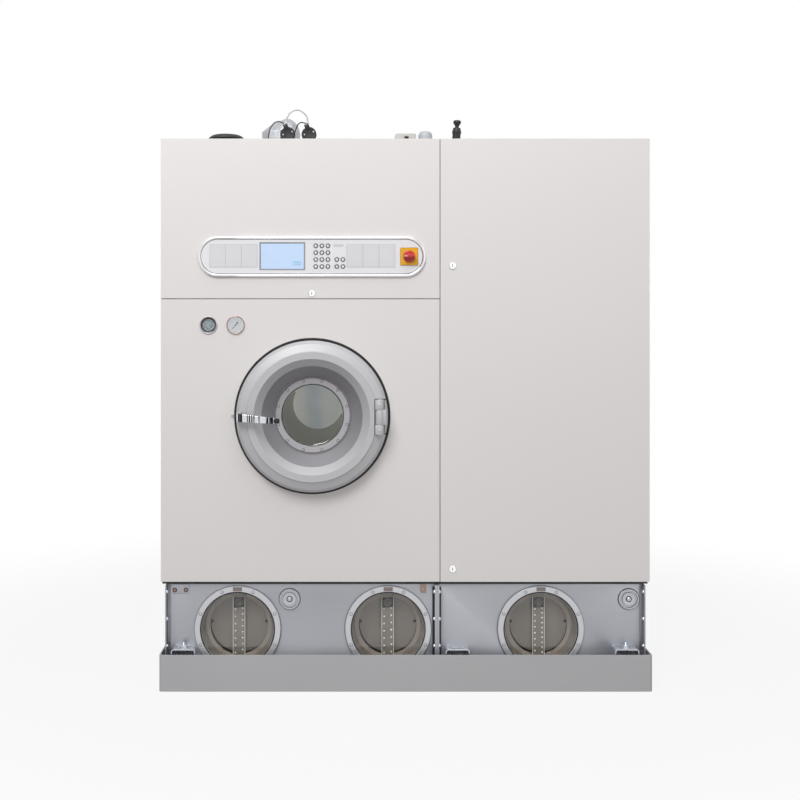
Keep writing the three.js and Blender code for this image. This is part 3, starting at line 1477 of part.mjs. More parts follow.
const valveHeight = top + valveRise - topSeat;
const stemDepth = 24;

function valveBody() {
  const flange = rodZ(
    valveX, valveY, [topSeat, topSeat + valveFlange.thickness], valveRadius + valveFlange.collar,
    mediumSegments,
  );
  const body = leaning([
    [0, 1.5], [valveRadius, 1.5], [valveRadius, valveHeight - 3], [valveRadius - 3, valveHeight],
    [0, valveHeight],
  ], mediumSegments);
  const bore = boreRadius(knobNeck, turnGap, 16);
  const stem = leaning([
    [0, valveHeight - stemDepth], [bore, valveHeight - stemDepth], [bore, valveHeight + 1],
    [0, valveHeight + 1],
  ], 16);
  return join([flange, body]).subtract(stem);
}

function valveKnob() {
  const foot = valveHeight - stemDepth + restGap;
  return leaning([
    [0, foot], [knobNeck, foot], [knobNeck, valveHeight + 6], [knobRadius, valveHeight + knobHeight - 10],
    [knobRadius, valveHeight + knobHeight - 5], [knobRadius - 4, valveHeight + knobHeight],
    [0, valveHeight + knobHeight],
  ], 16);
}

// Still and filter in the machine room behind the service door
const vesselY = (vesselRailY[0] + vesselRailY[1]) / 2;
const wheelThickness = 12;
const clampProud = 14;
const clampHeight = 30;

function vessel(x, { radius, height, legX }, extras) {
  const z0 = base + vesselRise;
  const z1 = z0 + height;
  const y = vesselY;
  const crown = radius * 0.3;
  const wall = vesselWall;
  const inner = radius - wall;
  const shell = turnedZ(x, y, [
    [0, z0 - crown], [radius * 0.6, z0 - crown * 0.7], [radius, z0], [radius, z1],
    [radius * 0.6, z1 + crown * 0.7], [vesselNeck + wall, z1 + crown * 0.9],
    [vesselNeck + wall, z1 + crown + 40], [vesselNeck + lidFlange, z1 + crown + 40],
    [vesselNeck + lidFlange, z1 + crown + 52], [vesselNeck, z1 + crown + 52],
    [vesselNeck, z1 + crown * 0.9 - wall], [radius * 0.6, z1 + crown * 0.7 - wall], [inner, z1],
    [inner, z0], [radius * 0.6 - wall, z0 - crown * 0.7 + wall], [0, z0 - crown + wall],
  ], mediumSegments);
  const legs = vesselRailY.flatMap((railY) => [-1, 1].map((side) => (
    rodZ(x + side * legX, railY, [railTop + restGap, z0 + 30], vesselLegRadius, 8)
  )));
  const hollow = rodZ(x, y, [z0, z1], inner, mediumSegments);
  return join([shell, ...legs.map((leg) => leg.subtract(hollow)), ...extras]);
}

function stillVessel() {
  const x = splitRight + still.inset;
  const z = base + manhole.rise;
  const neckEnd = vesselY - still.radius - manhole.proud;
  const inside = rodZ(
    x, vesselY, [z - manhole.radius - 1, z + manhole.radius + 1], still.radius - vesselWall / 2,
    mediumSegments,
  );
  const neck = rodY(x, z, [neckEnd, neckEnd + 2 * manhole.proud], manhole.radius, mediumSegments);
  const wheel = rodY(x, z, [neckEnd - wheelThickness, neckEnd + 1], manhole.handwheel, mediumSegments);
  return vessel(x, still, [neck.subtract(inside), wheel]);
}

function filterVessel() {
  const x = right - filter.inset;
  const inner = filter.radius - vesselWall / 2;
  const outer = filter.radius + clampProud;
  const clampTop = base + vesselRise + filter.height;
  const foot = clampTop - clampHeight;
  const profile = [[inner, foot], [outer, foot], [outer, clampTop], [inner, clampTop], [inner, foot]];
  return vessel(x, filter, [turnedZ(x, vesselY, profile, mediumSegments)]);
}

// The assembly
place('drip_tray', dripTray(), 'galvanised');
place('left_tank', leftTank(), 'galvanised');
place('right_tank', rightTank(), 'galvanised');
['left', 'middle', 'right'].forEach((side, i) => {
  place(`tank_window_${side}`, tankWindow(windowX[i]), 'galvanised');
});
place('frame', frame(), 'dark');
place('left_side_panel', leftSidePanel(), 'paint');
place('right_side_panel', rightSidePanel(), 'paint');
place('rear_panel', rearPanel(), 'paint');
place('top_panel', topPanel(), 'paint');
place('lower_front_panel', lowerFrontPanel(), 'paint');
place('drum_housing', drumHousing(), 'steel');
place('drum_cage', drumCage(), 'steel');
place('drum_pulley', drumPulley(), 'castGrey');
place('drive_motor', driveMotor(), 'motor');
place('motor_pulley', motorPulley(), 'castGrey');
place('drive_belt', driveBelt(), 'rubber');
place('porthole_trim', portholeTrim(), 'rubber');
place('hinge_bracket', hingeBracket(), 'castGrey');
place('door_shell', doorShell(), 'castGrey');
place('window_clamp_ring', windowClampRing(), 'silver');
place('door_glass', doorGlass(), 'glass');
place('door_handle', doorHandle(), 'chrome');
place('sight_glass', sightGlass(), 'chrome');
place('pressure_gauge', pressureGauge(), 'chrome');
place('service_door', serviceDoor(), 'paint');
place('service_door_lock_upper', turnLock(doorLockX, doorLockZ[0], true), 'chrome');
place('service_door_lock_lower', turnLock(doorLockX, doorLockZ[1], true), 'chrome');
place('control_flap', controlFlap(), 'paint');
place('flap_lock', turnLock(flapLockX, flapLockZ, false), 'chrome');
place('console_panel', consolePanel(), 'silver');
place('display_screen', displayScreen(), 'blue');
place('main_switch_plate', mainSwitchPlate(), 'yellow');
place('main_switch_knob', mainSwitchKnob(), 'red');
keyPlaces.forEach((spot, i) => {
  place(`key_${String(i + 1).padStart(2, '0')}`, key(spot), 'silver');
});
place('air_unit', airUnitBody(), 'galvanised');
place('pressure_switch_left', pressureSwitchLeft(), 'dark');
place('pressure_switch_right', pressureSwitchRight(), 'dark');
place('vent_cap', ventCap(), 'rubber');
place('terminal_box', terminalBox(), 'beige');
place('valve_body', valveBody(), 'castGrey');
place('valve_knob', valveKnob(), 'rubber');
place('still_vessel', stillVessel(), 'steel');
place('filter_vessel', filterVessel(), 'steel');

export default root;
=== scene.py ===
import json
import math
import bpy
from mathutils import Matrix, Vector


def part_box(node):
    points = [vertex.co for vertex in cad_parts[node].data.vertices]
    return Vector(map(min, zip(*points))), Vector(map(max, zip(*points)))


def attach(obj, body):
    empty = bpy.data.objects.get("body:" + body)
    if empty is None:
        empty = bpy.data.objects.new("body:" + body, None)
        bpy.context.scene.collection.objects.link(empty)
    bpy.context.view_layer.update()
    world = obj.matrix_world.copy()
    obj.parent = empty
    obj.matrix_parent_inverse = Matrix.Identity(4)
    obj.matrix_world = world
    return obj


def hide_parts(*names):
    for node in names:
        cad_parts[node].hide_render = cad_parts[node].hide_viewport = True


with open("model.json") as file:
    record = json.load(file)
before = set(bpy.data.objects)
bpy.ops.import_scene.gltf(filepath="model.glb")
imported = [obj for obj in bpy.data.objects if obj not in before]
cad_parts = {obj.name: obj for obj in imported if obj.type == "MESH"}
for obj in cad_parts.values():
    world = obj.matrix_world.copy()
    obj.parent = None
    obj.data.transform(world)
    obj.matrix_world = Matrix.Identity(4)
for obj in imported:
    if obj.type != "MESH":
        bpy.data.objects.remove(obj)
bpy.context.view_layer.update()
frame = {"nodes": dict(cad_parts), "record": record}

# Places in metres that several pieces share, read from the frame, and the gap under what sits on a face
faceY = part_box("service_door")[0].y
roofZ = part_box("top_panel")[1].z
seatGap = 0.0003
drumLow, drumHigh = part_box("drum_cage")
drumX = (drumLow.x + drumHigh.x) / 2
drumZ = (drumLow.z + drumHigh.z) / 2


# Camera at the photograph's place
camera = {"place": (-0.2057, -5.205, 1.311), "lens": 54.4, "shift": (0.0625, -0.08)}


def makeCamera():
    bpy.ops.object.camera_add(location=camera["place"], rotation=(math.radians(90), 0, 0))
    eye = bpy.context.object
    eye.data.lens = camera["lens"]
    eye.data.sensor_width = 36
    eye.data.shift_x, eye.data.shift_y = camera["shift"]
    eye.data.clip_end = 100
    bpy.context.scene.camera = eye


makeCamera()
print("camera set")


# Small helpers for working as in the viewport
def deselect():
    if bpy.context.object and bpy.context.object.mode != "OBJECT":
        bpy.ops.object.mode_set(mode="OBJECT")
    bpy.ops.object.select_all(action="DESELECT")


def focus(piece):
    deselect()
    piece.select_set(True)
    bpy.context.view_layer.objects.active = piece
    return piece


def settle(piece):
    focus(piece)
    bpy.ops.object.transform_apply(location=True, rotation=True, scale=True)
    return piece


def edit(piece, kind="FACE"):
    focus(piece)
    bpy.ops.object.mode_set(mode="EDIT")
    bpy.ops.mesh.select_mode(type=kind)


def leave():
    bpy.ops.object.mode_set(mode="OBJECT")


def pick(piece, test, kind="FACE"):
    # selects the faces, edges or corners that pass the test, and goes to edit mode
    edit(piece, kind)
    bpy.ops.mesh.select_all(action="DESELECT")
    leave()
    mesh = piece.data
    if kind == "FACE":
        for face in mesh.polygons:
            face.select = test(face.center, face.normal)
    elif kind == "EDGE":
        for edge in mesh.edges:
            a, b = (mesh.vertices[i].co for i in edge.vertices)
            edge.select = test(a, b)
    else:
        for corner in mesh.vertices:
            corner.select = test(corner.co)
    bpy.ops.object.mode_set(mode="EDIT")


def mend(piece):
    edit(piece, "VERT")
    bpy.ops.mesh.select_all(action="SELECT")
    bpy.ops.mesh.remove_doubles(threshold=0.00001)
    bpy.ops.mesh.normals_make_consistent(inside=False)
    leave()
    return piece


def smooth(piece, angle=30):
    focus(piece)
    bpy.ops.object.shade_smooth_by_angle(angle=math.radians(angle))
    return piece


def bevel(piece, width, segments=2, angle=30):
    focus(piece)
    modifier = piece.modifiers.new("bevel", "BEVEL")
    modifier.width = width
    modifier.segments = segments
    modifier.limit_method = "ANGLE"
    modifier.angle_limit = math.radians(angle)
    modifier.harden_normals = False
    bpy.ops.object.modifier_apply(modifier=modifier.name)
    return piece


def carve(piece, *cutters, operation="DIFFERENCE"):
    for cutter in cutters:
        focus(piece)
        modifier = piece.modifiers.new("cut", "BOOLEAN")
        modifier.operation = operation
        modifier.solver = "EXACT"
        modifier.object = cutter
        bpy.ops.object.modifier_apply(modifier=modifier.name)
        bpy.data.objects.remove(cutter, do_unlink=True)
    return piece


def merge(*parts):
    deselect()
    for part in parts:
        part.select_set(True)
    bpy.context.view_layer.objects.active = parts[0]
    bpy.ops.object.join()
    return parts[0]


def block(low, high):
    centre = [(a + b) / 2 for a, b in zip(low, high)]
    size = [b - a for a, b in zip(low, high)]
    deselect()
    bpy.ops.mesh.primitive_cube_add(size=1, location=centre, scale=size)
    return settle(bpy.context.object)


def roundCorners(piece, axis, radius, segments=6):
    # rounds the block's four edges that run along the axis
    others = [i for i in range(3) if i != axis]
    pick(piece, lambda a, b: all(abs(a[i] - b[i]) < 1e-6 for i in others), "EDGE")
    bpy.ops.mesh.bevel(offset=radius, segments=segments, affect="EDGES")
    leave()
    return piece


turnsTo = {"X": (0, math.radians(90), 0), "Y": (math.radians(-90), 0, 0), "Z": (0, 0, 0)}


def pickLoops(piece, ends):
    # selects the round edges of a turned piece at each (radius, height)
    pick(piece, lambda a, b: any(
        all(abs(p.z - height) < 1e-6 and abs(math.hypot(p.x, p.y) - radius) < 1e-5 for p in (a, b))
        for radius, height in ends
    ), "EDGE")


def turned(centre, profile, axis="Z", segments=96, ring=False):
    # a circle drawn out along the axis through each (radius, height) of the profile, then closed
    deselect()
    radius, height = profile[0]
    bpy.ops.mesh.primitive_circle_add(vertices=segments, radius=radius, location=(0, 0, height))
    piece = bpy.context.object
    settle(piece)
    edit(piece, "EDGE")
    bpy.ops.mesh.select_all(action="SELECT")
    for nextRadius, nextHeight in profile[1:]:
        bpy.ops.mesh.extrude_edges_move(
            TRANSFORM_OT_translate={"value": (0, 0, nextHeight - height)},
        )
        if abs(nextRadius - radius) > 1e-9:
            share = nextRadius / radius
            bpy.ops.transform.resize(value=(share, share, 1), center_override=(0, 0, nextHeight))
        radius, height = nextRadius, nextHeight
    if ring:
        leave()
        pickLoops(piece, (profile[0], profile[-1]))
        bpy.ops.mesh.bridge_edge_loops()
    else:
        bpy.ops.mesh.edge_face_add()
        leave()
        pickLoops(piece, profile[:1])
        bpy.ops.mesh.edge_face_add()
    leave()
    mend(piece)
    piece.rotation_euler = turnsTo[axis]
    piece.location = centre
    return settle(piece)


def around(count, radius, start=0.0):
    for i in range(count):
        angle = math.radians(start) + math.tau * i / count
        yield radius * math.cos(angle), radius * math.sin(angle)


# Finishes
def colour(red, green, blue):
    # a screen colour of 0 to 255 as the light that Blender mixes
    parts = [value / 255 for value in (red, green, blue)]
    return tuple(p / 12.92 if p <= 0.04045 else ((p + 0.055) / 1.055) ** 2.4 for p in parts) + (1,)


def link(tree, source, target):
    tree.links.new(source, target)


def feed(tree, value, socket):
    # links what is a socket, and sets what is a plain value
    if isinstance(value, bpy.types.NodeSocket):
        link(tree, value, socket)
    else:
        socket.default_value = value


def addNode(tree, kind, settings, *values):
    node = tree.nodes.new(kind)
    for label, value in settings.items():
        setattr(node, label, value)
    for socket, value in zip(node.inputs, values):
        feed(tree, value, socket)
    return node


def mathNode(tree, operation, *values):
    return addNode(tree, "ShaderNodeMath", {"operation": operation}, *values).outputs[0]


def vectorNode(tree, operation, *values):
    return addNode(tree, "ShaderNodeVectorMath", {"operation": operation}, *values).outputs[0]


def noiseNode(tree, vector, scale, detail=3.0, roughness=0.55):
    node = tree.nodes.new("ShaderNodeTexNoise")
    for label, value in {"Vector": vector, "Scale": scale, "Detail": detail,
                         "Roughness": roughness}.items():
        feed(tree, value, node.inputs[label])
    return node.outputs["Fac"]


def tint(tree, base, mask, amount):
    # the base colour made lighter and darker by a mask round one half
    shade = mathNode(tree, "MULTIPLY_ADD", mathNode(tree, "SUBTRACT", mask, 0.5), amount, 1.0)
    mix = addNode(tree, "ShaderNodeVectorMath", {"operation": "SCALE"}, base)
    link(tree, shade, mix.inputs["Scale"])
    return mix.outputs[0]


def swing(tree, mask, middle, amount, value):
    # a value moved up and down by a mask round its middle
    return mathNode(tree, "ADD", mathNode(tree, "MULTIPLY", mathNode(tree, "SUBTRACT", mask, middle),
                                          amount), value)


def blendOf(tree, mask, first, second):
    mix = addNode(tree, "ShaderNodeMix", {"data_type": "RGBA"})
    for label, value in {"Factor": mask, "A": first, "B": second}.items():
        link(tree, value, mix.inputs[label])
    return mix.outputs["Result"]


def newEffect(name, **values):
    # a shader node group with the given inputs, and the colour, roughness and height of a surface as outputs
    group = bpy.data.node_groups.new(name, "ShaderNodeTree")
    for label, value in values.items():
        kind = "NodeSocketColor" if isinstance(value, tuple) else "NodeSocketFloat"
        socket = group.interface.new_socket(label.replace("_", " "), in_out="INPUT", socket_type=kind)
        socket.default_value = value
    for label in ("Color", "Roughness", "Height"):
        kind = "NodeSocketColor" if label == "Color" else "NodeSocketFloat"
        group.interface.new_socket(label, in_out="OUTPUT", socket_type=kind)
    place = group.nodes.new("ShaderNodeTexCoord").outputs["Object"]
    return group, group.nodes.new("NodeGroupInput").outputs, place


def giveOut(group, *sources):
    ends = group.nodes.new("NodeGroupOutput").inputs
    for source, socket in zip(sources, ends):
        link(group, source, socket)
    return group


plainBase = (0.8, 0.8, 0.8, 1)


def makeHandling():
    # clouded sheen and fine grain, as on a surface that is wiped and touched
    group, given, place = newEffect("handling", Base=plainBase, Cloud_Scale=3.0, Cloud_Amount=0.04,
                                    Grain_Scale=900.0, Roughness=0.4, Roughness_Amount=0.12)
    cloud = noiseNode(group, place, given["Cloud Scale"], 4.0)
    grain = noiseNode(group, place, given["Grain Scale"], 1.0)
    return giveOut(group, tint(group, given["Base"], cloud, given["Cloud Amount"]),
                   swing(group, cloud, 0.5, given["Roughness Amount"], given["Roughness"]), grain)


def makeBrushing():
    # fine lines along one direction, under broad patches of duller and brighter metal
    group, given, place = newEffect("brushing", Base=plainBase, Along_X=4.0, Along_Y=4.0, Along_Z=400.0,
                                    Line_Amount=0.12, Patch_Scale=4.0, Patch_Amount=0.1, Roughness=0.35,
                                    Roughness_Amount=0.15)
    stretch = group.nodes.new("ShaderNodeCombineXYZ")
    for axis in "XYZ":
        link(group, given["Along " + axis], stretch.inputs[axis])
    lines = noiseNode(group, vectorNode(group, "MULTIPLY", place, stretch.outputs[0]), 1.0, 3.0, 0.6)
    patch = noiseNode(group, place, given["Patch Scale"], 4.0)
    lined = tint(group, given["Base"], lines, given["Line Amount"])
    both = mathNode(group, "ADD", lines, patch)
    return giveOut(group, tint(group, lined, patch, given["Patch Amount"]),
                   swing(group, both, 1.0, given["Roughness Amount"], given["Roughness"]), lines)


def makeSpangle():
    # the crystal flakes of zinc
    group, given, place = newEffect("spangle", Base=plainBase, Flake_Scale=90.0, Flake_Amount=0.2,
                                    Roughness=0.4, Roughness_Amount=0.2)
    flakes = group.nodes.new("ShaderNodeTexVoronoi")
    link(group, place, flakes.inputs["Vector"])
    link(group, given["Flake Scale"], flakes.inputs["Scale"])
    mask = addNode(group, "ShaderNodeSeparateColor", {}, flakes.outputs["Color"]).outputs["Red"]
    return giveOut(group, tint(group, given["Base"], mask, given["Flake Amount"]),
                   swing(group, mask, 0.5, given["Roughness Amount"], given["Roughness"]),
                   noiseNode(group, place, 500.0))


def makeReflections():
    # painted reflection: dark and pale bands of a room painted into the colour of bright metal
    group, given, place = newEffect("reflections", Base=plainBase, Dark=(0.02, 0.02, 0.03, 1),
                                    Band_Scale=60.0,
                                    Band_Share=0.5, Band_Edge=0.06, Roughness=0.12)
    stretched = vectorNode(group, "MULTIPLY", place, (1.0, 0.3, 0.04))
    bands = noiseNode(group, stretched, given["Band Scale"], 1.5, 0.4)
    edge = mathNode(group, "DIVIDE", mathNode(group, "SUBTRACT", bands, given["Band Share"]),
                    given["Band Edge"])
    edge.node.use_clamp = True
    return giveOut(group, blendOf(group, edge, given["Base"], given["Dark"]),
                   mathNode(group, "MULTIPLY_ADD", bands, 0.04, given["Roughness"]), bands)


def makeRuling():
    # fine crossed lines, with a heavier line at each wider step
    group, given, place = newEffect("ruling", Base=plainBase, Ink=(0.5, 0.5, 0.5, 1), Pitch=0.004,
                                    Wide_Pitch=0.0593, Line=0.0005, Roughness=0.4)
    axes = addNode(group, "ShaderNodeSeparateXYZ", {}, place).outputs
    masks = []
    for axis, pitch, share in (("X", "Pitch", 1.0), ("Z", "Pitch", 1.0), ("X", "Wide Pitch", 2.0)):
        folded = mathNode(group, "PINGPONG", axes[axis], mathNode(group, "MULTIPLY", given[pitch], 0.5))
        masks.append(mathNode(group, "LESS_THAN", folded,
                              mathNode(group, "MULTIPLY", given["Line"], share)))
    fine = mathNode(group, "MULTIPLY", mathNode(group, "MAXIMUM", masks[0], masks[1]), 0.6)
    both = mathNode(group, "MAXIMUM", fine, masks[2])
    return giveOut(group, blendOf(group, both, given["Base"], given["Ink"]),
                   mathNode(group, "MULTIPLY_ADD", both, 0.1, given["Roughness"]), both)


def makePerforation():
    # rows of round holes set out round the drum's axis and along it, each with a dimple and a dark dot of
    # painted shade, the shade seen through the hole
    group, given, place = newEffect("perforation", Base=plainBase, Hole=(0.02, 0.02, 0.02, 1), Count=190.0,
                                    Pitch=0.014, Hole_Size=0.24, Roughness=0.3)
    shifted = vectorNode(group, "SUBTRACT", place, (drumX, 0, drumZ))
    axes = addNode(group, "ShaderNodeSeparateXYZ", {}, shifted).outputs
    angle = mathNode(group, "ARCTAN2", axes["Z"], axes["X"])
    across = mathNode(group, "MULTIPLY", angle, mathNode(group, "MULTIPLY", given["Count"], 1 / math.tau))
    along = mathNode(group, "DIVIDE", axes["Y"], given["Pitch"])
    offsets = [mathNode(group, "SUBTRACT", mathNode(group, "FRACT", value),
                        0.5) for value in (across, along)]
    squares = [mathNode(group, "MULTIPLY", offset, offset) for offset in offsets]
    distance = mathNode(group, "POWER", mathNode(group, "ADD", *squares), 0.5)
    hole = mathNode(group, "LESS_THAN", distance, given["Hole Size"])
    return giveOut(group, blendOf(group, hole, given["Base"], given["Hole"]),
                   mathNode(group, "MAXIMUM", mathNode(group, "MULTIPLY", hole, 0.9), given["Roughness"]),
                   mathNode(group, "SUBTRACT", 1.0, hole))


effects = {"handling": makeHandling(), "brushing": makeBrushing(), "spangle": makeSpangle(),
           "reflections": makeReflections(), "ruling": makeRuling(), "perforation": makePerforation()}


def finish(name, base, effect="handling", metallic=0.0, bump=0.0, coat=0.0, glow=0.0, **values):
    # one finish: an effect group with its own values in front of the shader
    made = bpy.data.materials.new(name)
    made.use_nodes = True
    tree = made.node_tree
    shader = tree.nodes["Principled BSDF"].inputs
    shader["Metallic"].default_value = metallic
    shader["Coat Weight"].default_value = coat
    shader["Coat Roughness"].default_value = 0.1
    group = tree.nodes.new("ShaderNodeGroup")
    group.node_tree = effects[effect]
    group.inputs["Base"].default_value = colour(*base)
    for label, value in values.items():
        socket = group.inputs[label.replace("_", " ")]
        socket.default_value = colour(*value) if isinstance(value, tuple) else value
    link(tree, group.outputs["Color"], shader["Base Color"])
    link(tree, group.outputs["Roughness"], shader["Roughness"])
    if glow:
        link(tree, group.outputs["Color"], shader["Emission Color"])
        shader["Emission Strength"].default_value = glow
    if bump:
        node = tree.nodes.new("ShaderNodeBump")
        node.inputs["Strength"].default_value = 1.0
        node.inputs["Distance"].default_value = bump
        link(tree, group.outputs["Height"], node.inputs["Height"])
        link(tree, node.outputs["Normal"], shader["Normal"])
    return made


